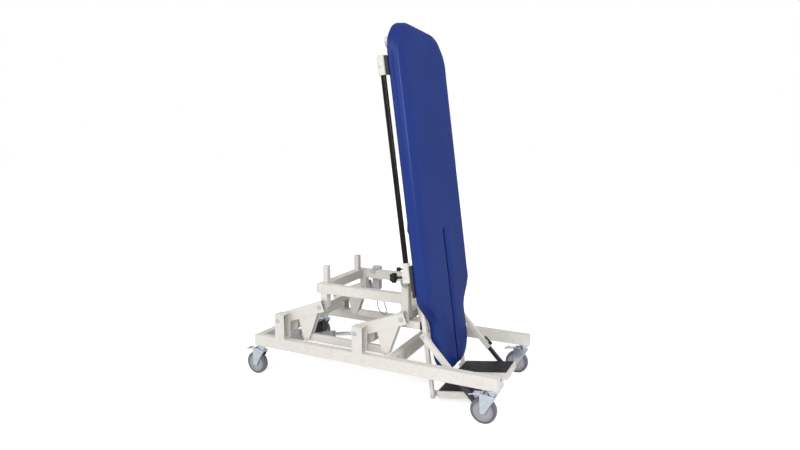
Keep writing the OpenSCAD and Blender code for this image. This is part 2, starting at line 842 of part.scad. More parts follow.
module drive_body(tube_end, gear0, gear1, glow, ghigh) {
    difference() {
        union() {
            pin_y(0, -drive_half, drive_half, 0, drive_eye_r);
            span([0, -drive_half, -drive_eye_r + tail_step], [drive_motor_start + lap, drive_half, drive_eye_r - tail_step]);
            translate([drive_motor_start, 0, 0]) rotate([0, 90, 0]) cylinder(r = drive_motor_r, h = drive_motor_end - drive_motor_start);
            translate([drive_motor_end - lap, 0, 0]) rotate([0, 90, 0]) cylinder(r = drive_tube_r, h = tube_end - drive_motor_end + lap);
            span([gear0, -gear_half, glow], [gear1, gear_half, ghigh]);
            translate([gear1 - lap, 0, (glow + ghigh) / 2]) rotate([0, 90, 0]) cylinder(r = gear_cap_r, h = gear_cap + lap);
        }
        pin_y(0, -drive_half - lap, drive_half + lap, 0, drive_pin_r + fit_gap);
        translate([drive_bore_start, 0, 0]) rotate([0, 90, 0]) cylinder(r = drive_rod_r + drive_rod_gap, h = tube_end);
    }
}

module drive_rod(start, end) {
    translate([start, 0, 0]) rotate([0, 90, 0]) cylinder(r = drive_rod_r, h = end - start - drive_eye_r + tail_step);
    pin_y(end, -eye_thick / 2, eye_thick / 2, 0, drive_eye_r);
}

module at_lift() {
    placed() translate([drive_rear_x, drive_y, drive_rear_z]) rotate([0, -drive_angle, 0]) children();
}

module lift_housing() { color(grey) at_lift() drive_body(drive_tube_end, gear_start, gear_end, gear_low, gear_high); }
module lift_rod() { color(steel) at_lift() drive_rod(drive_tube_end - drive_rod_in, drive_len); }

// The tabletop frame of reference: origin at the tilt pivot, X to the foot, Z out of the cushion
module at_table() {
    placed() translate([tilt_x, 0, tilt_z]) rotate([0, table_lean, 0]) children();
}

module at_tilt() {
    at_table() translate([-tilt_rear, 0, tilt_rear_w]) rotate([0, tilt_angle, 0]) children();
}

module tilt_housing() { color(grey) at_tilt() drive_body(tilt_tube_end, tilt_gear_start, tilt_gear_end, -tilt_gear_high, -gear_low); }
module tilt_rod() { color(steel) at_tilt() drive_rod(tilt_tube_end - drive_rod_in, tilt_len); }

// ---- Tabletop ----

// Half width of the top between the straight sides and the narrow foot end, an S-shaped shoulder
function shoulder(k, w) =
    let (t = k / shoulder_steps)
    [shoulder_start + t * (shoulder_end - shoulder_start), w - (table_half_width - foot_half_width) * t * t * (3 - 2 * t)];

// Quarter round of the outline, clockwise from angle a0
function corner(x, y, r, a0) =
    [for (k = [0:corner_steps]) let (a = a0 - 90 * k / corner_steps) [x + r * cos(a), y + r * sin(a)]];

module top_plan(inset) {
    w = table_half_width - inset;
    f = foot_half_width - inset;
    r = head_corner - inset;
    c = foot_corner - inset;
    cx = head_end - head_corner;
    fx = foot_end - foot_corner;
    polygon(concat(corner(-cx, w - r, r, 180), [for (k = [0:shoulder_steps]) shoulder(k, w)],
        corner(fx, f - c, c, 90), corner(fx, c - f, c, 0),
        [for (k = [shoulder_steps:-1:0]) let (p = shoulder(k, w)) [p[0], -p[1]]], corner(-cx, r - w, r, -90)));
}

module table_board() {
    color([0.24, 0.20, 0.17]) at_table() translate([0, 0, board_back]) linear_extrude(board_thick) top_plan(board_inset);
}

module mattress() {
    color(navy) at_table() difference() {
        translate([0, 0, board_back]) linear_extrude(board_thick + pad_thick) top_plan(0);
        translate([0, 0, board_back - 1]) linear_extrude(board_thick + 1) top_plan(board_inset);
        span([-groove_top + groove_width / 2, -groove_width / 2, pad_top - groove_deep], [head_end, groove_width / 2, pad_top + lap]);
        translate([-groove_top + groove_width / 2, 0, pad_top - groove_deep]) cylinder(r = groove_width / 2, h = groove_deep + lap);
    }
}

module frame_cross(x0, y, deep) {
    tube_span([x0, -y, board_back - deep], [x0 + tube_width, y, board_back], 1, tube_wall);
}

module table_frame() {
    color(cream) at_table() difference() {
        union() {
            both() tube_span([-frame_head, frame_y, board_back - frame_deep], [frame_end, ear_y, board_back], 0, tube_wall);
            for (x = [-frame_head, -frame_cross_back, -frame_cross_foot]) frame_cross(x, frame_y + eps, frame_deep);
            frame_cross(-tilt_rear - tube_width / 2, frame_y + eps, rear_cross_deep);
            frame_cross(frame_end, post_y0, cross_deep);
            both() span([post_x0, ear_y - eps, post_w0], [post_x0 + post_size, post_y0, board_back]);
            both() plate_y(ear_y, ear_y + ear_t) {
                circle(r = ear_r);
                polygon([[-ear_half, ear_up], [-ear_r, -ear_low / 2], [ear_r, -ear_low / 2], [ear_half, ear_up]]);
            }
            for (s = [-1, 1]) plate_y(s * (drive_half + ear_gap), s * (drive_half + ear_gap + ear_thick)) {
                translate([-tilt_rear, tilt_rear_w]) circle(r = drive_eye_r);
                translate([-tilt_rear - drive_eye_r, tilt_rear_w]) square([2 * drive_eye_r, board_back - rear_cross_deep - tilt_rear_w + lap]);
            }
        }
        both() pin_y(0, ear_y - lap, ear_y + ear_t + lap, 0, tilt_pin_r + fit_gap);
        pin_y(-tilt_rear, -drive_half - pin_reach, drive_half + pin_reach, tilt_rear_w, drive_pin_r);
    }
}

module handrails() {
    color(black) at_table() both() translate([-handrail_high, rail_y, rail_w]) rotate([0, 90, 0])
        cylinder(r = handrail_diameter / 2, h = handrail_high - handrail_low);
}

module rail_strips() {
    color(black) at_table() both() for (s = strip_lengths)
        span([s[0], strip_in, board_back - strip_thick], [s[1], strip_out, board_back]);
}

module rail_brackets() {
    seat = board_back - strip_thick;
    color(cream) at_table() both() {
        span([-clamp_start, socket_in, socket_low], [-clamp_mid, bracket_out, seat]);
        span([-clamp_mid, clamp_in, clamp_low], [-clamp_end, bracket_out, seat]);
        hex_y(-clamp_bolt_x, bracket_out, bracket_out + clamp_bolt_head, clamp_bolt_w, clamp_bolt_r);
        span([-bracket_end, socket_in, bracket_low], [-handrail_high, bracket_out, seat]);
        hex_y(-bracket_bolt_x, bracket_out, bracket_out + clamp_bolt_head, bracket_bolt_w, clamp_bolt_r);
    }
}

module head_bumpers() {
    color(pale) at_table() both() translate([-bumper_x, bumper_y, board_back - bumper_thick]) cylinder(r = bumper_r, h = bumper_thick);
}

module star_one() {
    translate([-star_x, star_y, star_low]) {
        cylinder(r = star_r, h = star_high - star_low);
        for (k = [0:star_lobes - lap]) rotate([0, 0, 360 * k / star_lobes]) translate([star_r, 0, 0])
            cylinder(r = star_lobe_r, h = star_high - star_low);
        cylinder(r = star_stem_r, h = clamp_low - seat_gap - star_low);
    }
}

module plunger_one() {
    translate([-plunger_x, clamp_mid_y, plunger_low]) {
        cylinder(r = plunger_r, h = plunger_high - plunger_low);
        cylinder(r = plunger_stem_r, h = socket_low - seat_gap - plunger_low);
    }
}

module star_knob_near() { color(black) at_table() mirror([0, 1, 0]) star_one(); }
module star_knob_far() { color(black) at_table() star_one(); }
module plunger_near() { color(black) at_table() mirror([0, 1, 0]) plunger_one(); }
module plunger_far() { color(black) at_table() plunger_one(); }

// ---- Foot assemblies ----

module foot_posts() {
    color(cream) at_table() both() difference() {
        tube_span([post_x0, post_y0, post_w0], [post_x1, post_y1, board_back], 0, post_tube_wall);
        pin_y(hinge_x, post_y0 - lap, post_y1 + lap, hinge_w, hinge_r);
    }
}

module table_bolts() {
    color(steel) at_table() both() {
        pin_y(hinge_x, lug_y0 - side_gap, post_y1, hinge_w, hinge_r);
        pin_y(hinge_x, lug_y1 + side_gap, post_y0, hinge_w, hinge_head_r);
        hex_y(hinge_x, post_y1, post_y1 + 2, hinge_w, hinge_head_r);
        pin_y(hinge_x, lug_y0 - side_gap - hinge_head, lug_y0 - side_gap, hinge_w, hinge_head_r);
        pin_y(strut_x, post_y1, strut_y1 + side_gap, strut_w, hinge_r);
        hex_y(strut_x, strut_y1 + side_gap, strut_y1 + side_gap + hinge_head, strut_w, hinge_head_r);
    }
    color(steel) at_table() pin_y(-tilt_rear, -drive_half - ear_gap - ear_thick, drive_half + ear_gap + ear_thick,
        tilt_rear_w, drive_pin_r);
}

module at_plate() {
    translate([plate_x, 0, plate_w]) rotate([0, -footplate_tip, 0]) children();
}

module footplate_one() {
    d = footplate_depth;
    difference() {
        union() {
            at_plate() difference() {
                span([tread_thick, plate_y, 0], [d, plate_y + footplate_width, footplate_length]);
                span([tread_thick + plate_skin, plate_y + plate_rim, plate_rim],
                    [d + lap, plate_y + footplate_width - plate_rim, footplate_length - plate_rim]);
            }
            plate_y(lug_y0, lug_y1) {
                translate([hinge_x, hinge_w]) circle(r = lug_r);
                translate([hinge_x - lug_r, hinge_w]) square([2 * lug_r, plate_w - hinge_w + 3]);
            }
            pin_y(strut_low_x, plate_y + footplate_width - plate_rim, strut_mid_y - rod_half - side_gap, strut_low_w, hinge_head_r);
        }
        pin_y(hinge_x, lug_y0 - lap, lug_y1 + lap, hinge_w, hinge_r + fit_gap);
    }
}

module tread_one() {
    at_plate() span([0, plate_y + tread_inset, tread_inset],
        [tread_thick, plate_y + footplate_width - tread_inset, footplate_length - tread_inset]);
}

module at_strut() {
    translate([strut_x, strut_mid_y, strut_w]) rotate([0, -strut_angle, 0]) children();
}

module strut_tube_one() {
    bore = strut_half - strut_wall;
    at_strut() difference() {
        union() {
            span([-strut_head, -strut_half, -strut_half], [strut_tube_end, strut_half, strut_half]);
            span([strut_tube_end - collar_len, -strut_half, -strut_half], [strut_tube_end, strut_half + lap, collar_half]);
        }
        pin_y(0, -strut_half - lap, strut_half + lap, 0, hinge_r + fit_gap);
        span([strut_bore_start, -bore, -bore], [strut_len, bore, bore]);
    }
}

module strut_rod_one() {
    at_strut() difference() {
        union() {
            span([strut_tube_end - strut_rod_in, -rod_half, -rod_half], [strut_len, rod_half, rod_half]);
            pin_y(strut_len, -rod_half, rod_half, 0, rod_half);
            translate([strut_tube_end + button_x, 0, rod_half - lap]) cylinder(r = button_r, h = button_high + lap);
        }
        for (k = [1:button_holes]) translate([strut_tube_end + rod_hole_x + k * button_pitch, 0, rod_half - 3])
            cylinder(r = button_r, h = 4);
    }
}

module strut_knob_one() {
    at_strut() translate([knob_u, 0, 0]) {
        translate([0, 0, knob_low + seat_gap]) cylinder(r = knob_stem_r, h = knob_high - knob_low);
        translate([0, 0, knob_low + 3]) cylinder(r = knob_r, h = knob_high - knob_low - 3);
        translate([0, 0, (knob_low + knob_high) / 2 + 2]) rotate([0, -90, 0]) cylinder(r = knob_lever_r, h = knob_lever);
    }
}

module near() {
    at_table() mirror([0, 1, 0]) children();
}

module far() {
    at_table() children();
}

module footplate_near() { color(cream) near() footplate_one(); }
module footplate_far() { color(cream) far() footplate_one(); }
module tread_near() { color(grey) near() tread_one(); }
module tread_far() { color(grey) far() tread_one(); }
module strut_tube_near() { color(cream) near() strut_tube_one(); }
module strut_tube_far() { color(cream) far() strut_tube_one(); }
module strut_rod_near() { color(black) near() strut_rod_one(); }
module strut_rod_far() { color(black) far() strut_rod_one(); }
module strut_knob_near() { color(black) near() strut_knob_one(); }
module strut_knob_far() { color(black) far() strut_knob_one(); }

base_rails();
base_cross_tubes();
base_end_caps();
base_posts();
base_pivot_bolts();
fork_head_near();
fork_head_far();
fork_foot_near();
fork_foot_far();
wheel_head_near();
wheel_head_far();
wheel_foot_near();
wheel_foot_far();
pedal_head_near();
pedal_head_far();
pedal_foot_near();
pedal_foot_far();
head_arms();
head_levers();
foot_arms();
foot_levers();
link_bars();
carriage_rails();
carriage_cross_tubes();
carriage_legs();
stop_buffers();
rest_stubs();
carriage_pivot_bolts();
tilt_pivot_pins();
handset();
handset_cord();
lift_rocker();
tilt_rocker();
lift_housing();
lift_rod();
tilt_housing();
tilt_rod();
table_frame();
table_board();
mattress();
handrails();
rail_strips();
rail_brackets();
head_bumpers();
foot_posts();
table_bolts();
star_knob_near();
star_knob_far();
plunger_near();
plunger_far();
footplate_near();
footplate_far();
tread_near();
tread_far();
strut_tube_near();
strut_tube_far();
strut_rod_near();
strut_rod_far();
strut_knob_near();
strut_knob_far();
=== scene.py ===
import math

import bmesh
import bpy
import numpy as np
from bpy.props import FloatProperty, FloatVectorProperty, IntProperty, PointerProperty
from bpy.types import Operator, Panel, PropertyGroup
from mathutils import Euler, Matrix, Vector


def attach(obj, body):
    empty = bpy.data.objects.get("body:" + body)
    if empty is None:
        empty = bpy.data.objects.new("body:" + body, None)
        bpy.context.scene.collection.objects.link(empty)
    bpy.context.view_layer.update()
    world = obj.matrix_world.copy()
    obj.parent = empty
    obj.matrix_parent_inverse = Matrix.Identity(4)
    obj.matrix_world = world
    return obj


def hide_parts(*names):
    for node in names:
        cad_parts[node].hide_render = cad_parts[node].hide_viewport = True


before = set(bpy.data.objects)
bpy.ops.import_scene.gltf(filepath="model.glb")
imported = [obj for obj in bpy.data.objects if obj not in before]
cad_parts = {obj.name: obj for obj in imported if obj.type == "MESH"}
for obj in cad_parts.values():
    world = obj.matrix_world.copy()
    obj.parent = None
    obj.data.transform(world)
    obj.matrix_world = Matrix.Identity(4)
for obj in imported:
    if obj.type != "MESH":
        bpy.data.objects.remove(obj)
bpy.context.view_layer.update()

bl_info = {
    "name": "Physiotherapy tilt table",
    "version": (1, 0, 0),
    "blender": (4, 5, 0),
    "location": "3D View > Sidebar > Tilt table",
    "description": "Upholstery, cord, finishes and studio for the tilt table",
    "category": "Object",
}

# The row frame is this far to the right of the frame that the source's route points use
FRAME_X = 0.03575
# Pivot and lean of the top at rest
TILT_PIVOT = Vector((0.18265 + FRAME_X, 0.0, 0.598))
TABLE_LEAN = math.radians(82.5)
TABLE = Matrix.Translation(TILT_PIVOT) @ Euler((0.0, TABLE_LEAN, 0.0)).to_matrix().to_4x4()
# Front of the cushion above the tilt pivot, and back of the board
PAD_FRONT = 0.149
PAD_BACK = 0.089
# Groove between the legs: half its width and where it starts
GROOVE_HALF = 0.0125
GROOVE_TOP = -0.236
# Margins round the groove that stay put while the cushion swells, and that are hardly smoothed
GROOVE_HELD = 0.006
GROOVE_KEPT = 0.007
# How far below its front the cushion is held, and how often it is smoothed before and after it swells
HELD_DEPTH = 0.045
SMOOTH_BEFORE = 6
SMOOTH_AFTER = 4
# Rear eyes of the two drives: place, turn about Y, and where the gearbox sits on each
LIFT_EYE = (-0.638 + FRAME_X, -0.150, 0.176)
LIFT_TURN = math.radians(-9.57)
TILT_EYE = tuple(TABLE @ Vector((-0.430, 0.0, 0.020)))
TILT_TURN = TABLE_LEAN + math.radians(7.39)
# Axles of the head and foot wheels
AXLE_X = {"head": -0.700 + FRAME_X, "foot": 0.628 + FRAME_X}
AXLE_Z = 0.0625
WHEEL_Y = {"near": -0.323, "far": 0.323}

# Handset cord, route points in millimetres, as in the part's source
CORD_ROUTE = [
    (-233, 250, 400), (-232, 248, 375), (-228, 239, 348), (-221, 227, 322), (-208, 214, 298), (-188, 206, 278),
    (-168, 202, 268), (-150, 200, 270), (-142, 200, 284), (-148, 202, 306), (-160, 204, 334), (-174, 206, 366),
    (-186, 208, 402), (-194, 210, 438), (-196, 212, 460), (-196, 212, 474)]
CORD_FILL = 4

PAINTED = ["base_rails", "base_cross_tubes", "base_end_caps", "base_posts", "head_arms", "head_levers", "foot_arms",
           "foot_levers", "link_bars", "carriage_rails", "carriage_cross_tubes", "carriage_legs", "rest_stubs",
           "table_frame", "rail_brackets", "foot_posts", "footplate_near", "footplate_far", "strut_tube_near",
           "strut_tube_far"]
CASTERS = ["head_near", "head_far", "foot_near", "foot_far"]
BOLTS = ["base_pivot_bolts", "carriage_pivot_bolts", "table_bolts"]
BLACK_PLASTIC = ["star_knob_near", "star_knob_far", "plunger_near", "plunger_far", "strut_knob_near",
                 "strut_knob_far", "lift_rocker", "tilt_rocker"]
RUBBER = ["stop_buffers"]
# Ends of the rubber strips along the top, and their section across it
STRIP_ENDS = ((-0.098, 0.058), (-1.090, -1.002))
STRIP_IN = 0.286
STRIP_OUT = 0.331
STRIP_DEEP = 0.010
STRIP_CORNER = 0.006
STRIP_EDGE = 0.0015
STRIP_GAP = 0.0002
TREADS = ["tread_near", "tread_far"]
# Nodes whose edges stay as they are: soft ones, ones that a piece replaces, and wide flat ones with openings
NOT_ROUNDED = ("mattress", "handset_cord", "rail_strips", "table_frame", "table_board")
# Pieces with narrow wedges or short steps, rounded less
FINE = ("pedal_", "lift_rod", "tilt_rod", "lift_rocker", "tilt_rocker", "plunger_")
FINE_EDGE = 0.25


def linear(red, green, blue):
    """A screen colour of 0 to 255 as the linear colour that Blender uses."""
    def one(value):
        value /= 255.0
        return value / 12.92 if value <= 0.04045 else ((value + 0.055) / 1.055) ** 2.4
    return (one(red), one(green), one(blue))


# ---- Sizes and colours ----

def colour_property(name, description, default):
    return FloatVectorProperty(name=name, description=description, default=default, subtype="COLOR", size=3,
                               min=0.0, max=1.0)


class TiltTableColours(PropertyGroup):
    """Colours of the table's finishes."""
    paint: colour_property("Frame paint", "Powder coat on the steel frame", linear(222, 219, 213))
    paint_shade: colour_property("Paint shade", "Darker clouds in the frame paint", linear(208, 203, 194))
    vinyl: colour_property("Vinyl", "Upholstery vinyl", linear(29, 54, 126))
    vinyl_shade: colour_property("Vinyl shade", "Darker clouds in the vinyl", linear(26, 46, 110))
    zinc: colour_property("Zinc", "Plated casters and bolts", linear(178, 186, 193))
    dark_steel: colour_property("Dark steel", "Sliding rods of the footplate struts", linear(62, 62, 64))
    black: colour_property("Black plastic", "Knobs and rockers", linear(26, 26, 28))
    rail: colour_property("Handrail", "Glossy black coat of the handrails", linear(9, 9, 10))
    rubber: colour_property("Rubber", "Treads, strips and buffers", linear(16, 15, 17))
    tyre: colour_property("Tyre", "Blue-grey tyre", linear(88, 91, 106))
    disc: colour_property("Wheel disc", "Grey plastic of the wheels", linear(158, 159, 162))
    housing: colour_property("Drive housing", "Grey plastic of the drives and the handset", linear(168, 169, 170))
    pale: colour_property("Pale plastic", "Wall bumpers", linear(205, 210, 214))
    board: colour_property("Board", "Brown board behind the upholstery", linear(104, 72, 48))
    cord: colour_property("Cord", "Sheath of the handset cord", linear(120, 120, 122))


class TiltTableSizes(PropertyGroup):
    """Sizes of the soft pieces and of the rounded edges."""
    edge: FloatProperty(name="Edge round", description="Rounding of steel and plastic edges", default=0.0012,
                        min=0.0002, max=0.003, unit="LENGTH")
    pad_round: FloatProperty(name="Cushion round", description="Rounding of the cushion's front edges",
                             default=0.030, min=0.01, max=0.04, unit="LENGTH")
    pad_steps: IntProperty(name="Cushion steps", description="Faces across the cushion's rounded edge", default=6,
                           min=3, max=12)
    groove_round: FloatProperty(name="Groove round", description="Rounding of the edges of the groove",
                                default=0.005, min=0.003, max=0.02, unit="LENGTH")
    voxel: FloatProperty(name="Voxel", description="Mesh size of the cushion", default=0.006, min=0.004, max=0.01,
                         unit="LENGTH")
    swell: FloatProperty(name="Swell", description="Furthest that the foam pushes the vinyl out", default=0.005,
                         min=0.0, max=0.02, unit="LENGTH")
    pressure: FloatProperty(name="Pressure", description="Pressure inside the cushion while it is blown up",
                            default=4.0, min=0.0, max=10.0)
    cord_diameter: FloatProperty(name="Cord diameter", description="Thickness of the handset cord", default=0.005,
                                 min=0.003, max=0.008, unit="LENGTH")


class TiltTableStudio(PropertyGroup):
    """Camera and light of the picture."""
    camera_place: FloatVectorProperty(name="Camera place", description="Where the camera stands",
                                      default=(1.32845, -2.59865, 1.24591), subtype="TRANSLATION", unit="LENGTH")
    camera_down: FloatProperty(name="Camera pitch", description="Angle of the camera below the horizon",
                               default=math.radians(7.777), subtype="ANGLE")
    camera_turn: FloatProperty(name="Camera turn", description="Turn of the camera about the vertical",
                               default=math.radians(25.682), subtype="ANGLE")
    lens: FloatProperty(name="Lens", description="Focal length on a sensor 36 mm wide, in millimetres", default=24.08,
                        min=10.0, max=100.0)
    sky: FloatProperty(name="Sky light", description="Light from all round", default=0.40, min=0.0, max=2.0)
    sun: FloatProperty(name="Key light", description="Strength of the soft key light on the left", default=0.95,
                       min=0.0, max=10.0)
    fill: FloatProperty(name="Fill light", description="Strength of the soft light on the right", default=0.95,
                        min=0.0, max=10.0)
    box_power: FloatProperty(name="Soft box", description="Power of the tall soft box on the right, in watts",
                             default=42.0, min=0.0, max=2000.0)


# ---- Help for shader nodes ----

def put(tree, kind, inputs=None, **settings):
    """Adds a node, sets its values and joins the sockets that are given."""
    node = tree.nodes.new(kind)
    for name, value in settings.items():
        setattr(node, name, value)
    for key, value in (inputs or {}).items():
        if isinstance(value, bpy.types.NodeSocket):
            tree.links.new(value, node.inputs[key])
        else:
            node.inputs[key].default_value = value
    return node


def maths(tree, operation, first, second=0.0, third=None, clamp=False):
    values = {0: first, 1: second}
    if third is not None:
        values[2] = third
    return put(tree, "ShaderNodeMath", values, operation=operation, use_clamp=clamp).outputs[0]


def blend_colours(tree, share, first, second, blend_type="MIX"):
    return put(tree, "ShaderNodeMix", {0: share, 6: first, 7: second}, data_type="RGBA", blend_type=blend_type,
               clamp_factor=True).outputs[2]


def spread(tree, value, low, high, to_low=0.0, to_high=1.0):
    return put(tree, "ShaderNodeMapRange", {"Value": value, "From Min": low, "From Max": high, "To Min": to_low,
                                            "To Max": to_high}, clamp=True).outputs[0]


def noise(tree, vector, scale, detail=3.0, rough=0.5):
    return put(tree, "ShaderNodeTexNoise", {"Vector": vector, "Scale": scale, "Detail": detail,
                                            "Roughness": rough}).outputs["Fac"]


def new_group(name, inputs, outputs):
    """An empty node group with its sockets, its input node and its output node."""
    tree = bpy.data.node_groups.new(name, "ShaderNodeTree")
    for title, kind, default in inputs:
        socket = tree.interface.new_socket(name=title, in_out="INPUT", socket_type="NodeSocket" + kind)
        if default is not None:
            socket.default_value = default
    for title, kind in outputs:
        tree.interface.new_socket(name=title, in_out="OUTPUT", socket_type="NodeSocket" + kind)
    return tree, tree.nodes.new("NodeGroupInput").outputs, tree.nodes.new("NodeGroupOutput").inputs


def join(tree, source, target):
    tree.links.new(source, target)


def group_coated():
    """Soft clouds of colour, uneven gloss and a fine orange-peel height."""
    tree, given, out = new_group("Coated surface", [
        ("Vector", "Vector", None), ("Colour", "Color", (0.8, 0.8, 0.8, 1.0)),
        ("Shade", "Color", (0.6, 0.6, 0.6, 1.0)),
        ("Cloud scale", "Float", 6.0), ("Cloud share", "Float", 0.5), ("Grain scale", "Float", 700.0),
        ("Roughness", "Float", 0.4), ("Gloss spread", "Float", 0.08)],
        [("Colour", "Color"), ("Roughness", "Float"), ("Height", "Float")])
    clouds = spread(tree, noise(tree, given["Vector"], given["Cloud scale"], 5.0, 0.6), 0.35, 0.68)
    share = maths(tree, "MULTIPLY", clouds, given["Cloud share"])
    join(tree, blend_colours(tree, share, given["Colour"], given["Shade"]), out["Colour"])
    fine = maths(tree, "MULTIPLY", given["Cloud scale"], 4.3)
    smear = maths(tree, "SUBTRACT", noise(tree, given["Vector"], fine, 4.0), 0.5)
    rough = maths(tree, "MULTIPLY_ADD", smear, given["Gloss spread"], given["Roughness"])
    join(tree, rough, out["Roughness"])
    join(tree, noise(tree, given["Vector"], given["Grain scale"], 2.0), out["Height"])
    return tree


def group_rubbed():
    """Paler, rubbed edges, broken up by noise."""
    tree, given, out = new_group("Rubbed edges", [
        ("Vector", "Vector", None), ("Colour", "Color", (0.8, 0.8, 0.8, 1.0)),
        ("Rub colour", "Color", (0.5, 0.5, 0.5, 1.0)),
        ("Amount", "Float", 0.5)], [("Colour", "Color"), ("Mask", "Float")])
    edge = spread(tree, put(tree, "ShaderNodeNewGeometry").outputs["Pointiness"], 0.53, 0.60)
    broken = spread(tree, noise(tree, given["Vector"], 45.0, 6.0, 0.7), 0.45, 0.65)
    mask = maths(tree, "MULTIPLY", maths(tree, "MULTIPLY", edge, broken), given["Amount"], clamp=True)
    join(tree, blend_colours(tree, mask, given["Colour"], given["Rub colour"]), out["Colour"])
    join(tree, mask, out["Mask"])
    return tree


def group_vinyl_grain():
    """Pebble grain of embossed vinyl with slack ripples."""
    tree, given, out = new_group("Vinyl grain", [("Vector", "Vector", None), ("Pebble scale", "Float", 420.0),
                                                 ("Ripple scale", "Float", 9.0)],
                                 [("Height", "Float"), ("Crease", "Float")])
    pebble = put(tree, "ShaderNodeTexVoronoi", {"Vector": given["Vector"], "Scale": given["Pebble scale"]},
                 feature="SMOOTH_F1").outputs["Distance"]
    cracks = put(tree, "ShaderNodeTexVoronoi", {"Vector": given["Vector"], "Scale": given["Pebble scale"]},
                 feature="DISTANCE_TO_EDGE").outputs["Distance"]
    ripple = noise(tree, given["Vector"], given["Ripple scale"], 2.0)
    height = maths(tree, "MULTIPLY_ADD", pebble, -0.25, maths(tree, "MULTIPLY", ripple, 1.2))
    join(tree, height, out["Height"])
    join(tree, spread(tree, cracks, 0.02, 0.14, 1.0, 0.0), out["Crease"])
    return tree


def group_plated():
    """Plated steel: faint crystal patches and drawn lines."""
    tree, given, out = new_group("Plated metal", [
        ("Vector", "Vector", None), ("Colour", "Color", (0.6, 0.6, 0.6, 1.0)), ("Patch scale", "Float", 90.0),
        ("Roughness", "Float", 0.3)], [("Colour", "Color"), ("Roughness", "Float"), ("Height", "Float")])
    patch = put(tree, "ShaderNodeTexVoronoi", {"Vector": given["Vector"], "Scale": given["Patch scale"],
                                               "Randomness": 1.0}).outputs["Color"]
    grey = put(tree, "ShaderNodeSeparateColor", {0: patch}).outputs[0]
    lines = noise(tree, put(tree, "ShaderNodeMapping", {"Vector": given["Vector"], "Scale": (30.0, 400.0, 400.0)}
                            ).outputs[0], 1.0, 3.0)
    dark = blend_colours(tree, 1.0, given["Colour"], (0.72, 0.74, 0.78, 1.0), "MULTIPLY")
    join(tree, blend_colours(tree, maths(tree, "MULTIPLY", grey, 0.6), given["Colour"], dark), out["Colour"])
    join(tree, maths(tree, "MULTIPLY_ADD", lines, 0.16, maths(tree, "SUBTRACT", given["Roughness"], 0.08)),
         out["Roughness"])
    join(tree, lines, out["Height"])
    return tree


def group_ribs():
    """Rows of small ribs across a tread, with fine rubber grain."""
    tree, given, out = new_group("Ribbed rubber", [("Vector", "Vector", None), ("Rib scale", "Float", 110.0)],
                                 [("Height", "Float"), ("Wear", "Float")])
    ribs = put(tree, "ShaderNodeTexWave", {"Vector": given["Vector"], "Scale": given["Rib scale"]},
               wave_type="BANDS", bands_direction="Y", wave_profile="SIN").outputs["Fac"]
    grain = noise(tree, given["Vector"], 900.0, 2.0)
    join(tree, maths(tree, "MULTIPLY_ADD", grain, 0.15, ribs), out["Height"])
    scuffs = spread(tree, noise(tree, given["Vector"], 14.0, 7.0, 0.7), 0.52, 0.72)
    join(tree, maths(tree, "MULTIPLY", scuffs, ribs), out["Wear"])
    return tree


def group_block():
    """One inside the box between two corners, zero outside."""
    tree, given, out = new_group("Inside a box", [("Vector", "Vector", None), ("Low", "Vector", None),
                                                  ("High", "Vector", None)], [("Mask", "Float")])
    above = put(tree, "ShaderNodeVectorMath", {0: given["Vector"], 1: given["Low"]}, operation="SUBTRACT").outputs[0]
    below = put(tree, "ShaderNodeVectorMath", {0: given["High"], 1: given["Vector"]}, operation="SUBTRACT").outputs[0]
    least = put(tree, "ShaderNodeVectorMath", {0: above, 1: below}, operation="MINIMUM").outputs[0]
    parts = put(tree, "ShaderNodeSeparateXYZ", {0: least}).outputs
    low = maths(tree, "MINIMUM", maths(tree, "MINIMUM", parts[0], parts[1]), parts[2])
    join(tree, maths(tree, "GREATER_THAN", low, 0.0), out["Mask"])
    return tree


def group_rings():
    """Distance from an axle and concentric moulded rings."""
    tree, given, out = new_group("Wheel rings", [("Vector", "Vector", None)],
                                 [("Tyre", "Float"), ("Height", "Float"), ("Line", "Float")])
    flat = put(tree, "ShaderNodeVectorMath", {0: given["Vector"], 1: (1.0, 0.0, 1.0)},
               operation="MULTIPLY").outputs[0]
    radius = put(tree, "ShaderNodeVectorMath", {0: flat}, operation="LENGTH").outputs["Value"]
    join(tree, spread(tree, radius, 0.0485, 0.0490), out["Tyre"])
    line_a = maths(tree, "COMPARE", radius, 0.0400, 0.0010)
    line_b = maths(tree, "COMPARE", radius, 0.0485, 0.0011)
    line_c = maths(tree, "COMPARE", radius, 0.0180, 0.0008)
    line = maths(tree, "MAXIMUM", maths(tree, "MAXIMUM", line_a, line_b), line_c)
    join(tree, line, out["Line"])
    join(tree, maths(tree, "SUBTRACT", 1.0, line), out["Height"])
    return tree


def group_board():
    """Brown faced board: long grain and the pale lines of its plies."""
    tree, given, out = new_group("Faced board",
                                 [("Vector", "Vector", None), ("Colour", "Color", (0.2, 0.1, 0.05, 1.0))],
                                 [("Colour", "Color"), ("Height", "Float")])
    streak = noise(tree, put(tree, "ShaderNodeMapping", {"Vector": given["Vector"], "Scale": (4.0, 60.0, 60.0)}
                             ).outputs[0], 1.0, 6.0, 0.65)
    dark = blend_colours(tree, 1.0, given["Colour"], (0.45, 0.40, 0.36, 1.0), "MULTIPLY")
    grain = blend_colours(tree, spread(tree, streak, 0.3, 0.75), dark, given["Colour"])
    high = put(tree, "ShaderNodeSeparateXYZ", {0: given["Vector"]}).outputs[2]
    ply = maths(tree, "PINGPONG", high, 0.0019)
    pale = spread(tree, ply, 0.0012, 0.0016)
    edge = maths(tree, "MULTIPLY", maths(tree, "GREATER_THAN", high, PAD_BACK + 0.0006), pale)
    join(tree, blend_colours(tree, maths(tree, "MULTIPLY", edge, 0.5), grain, (0.42, 0.30, 0.18, 1.0)), out["Colour"])
    join(tree, streak, out["Height"])
    return tree


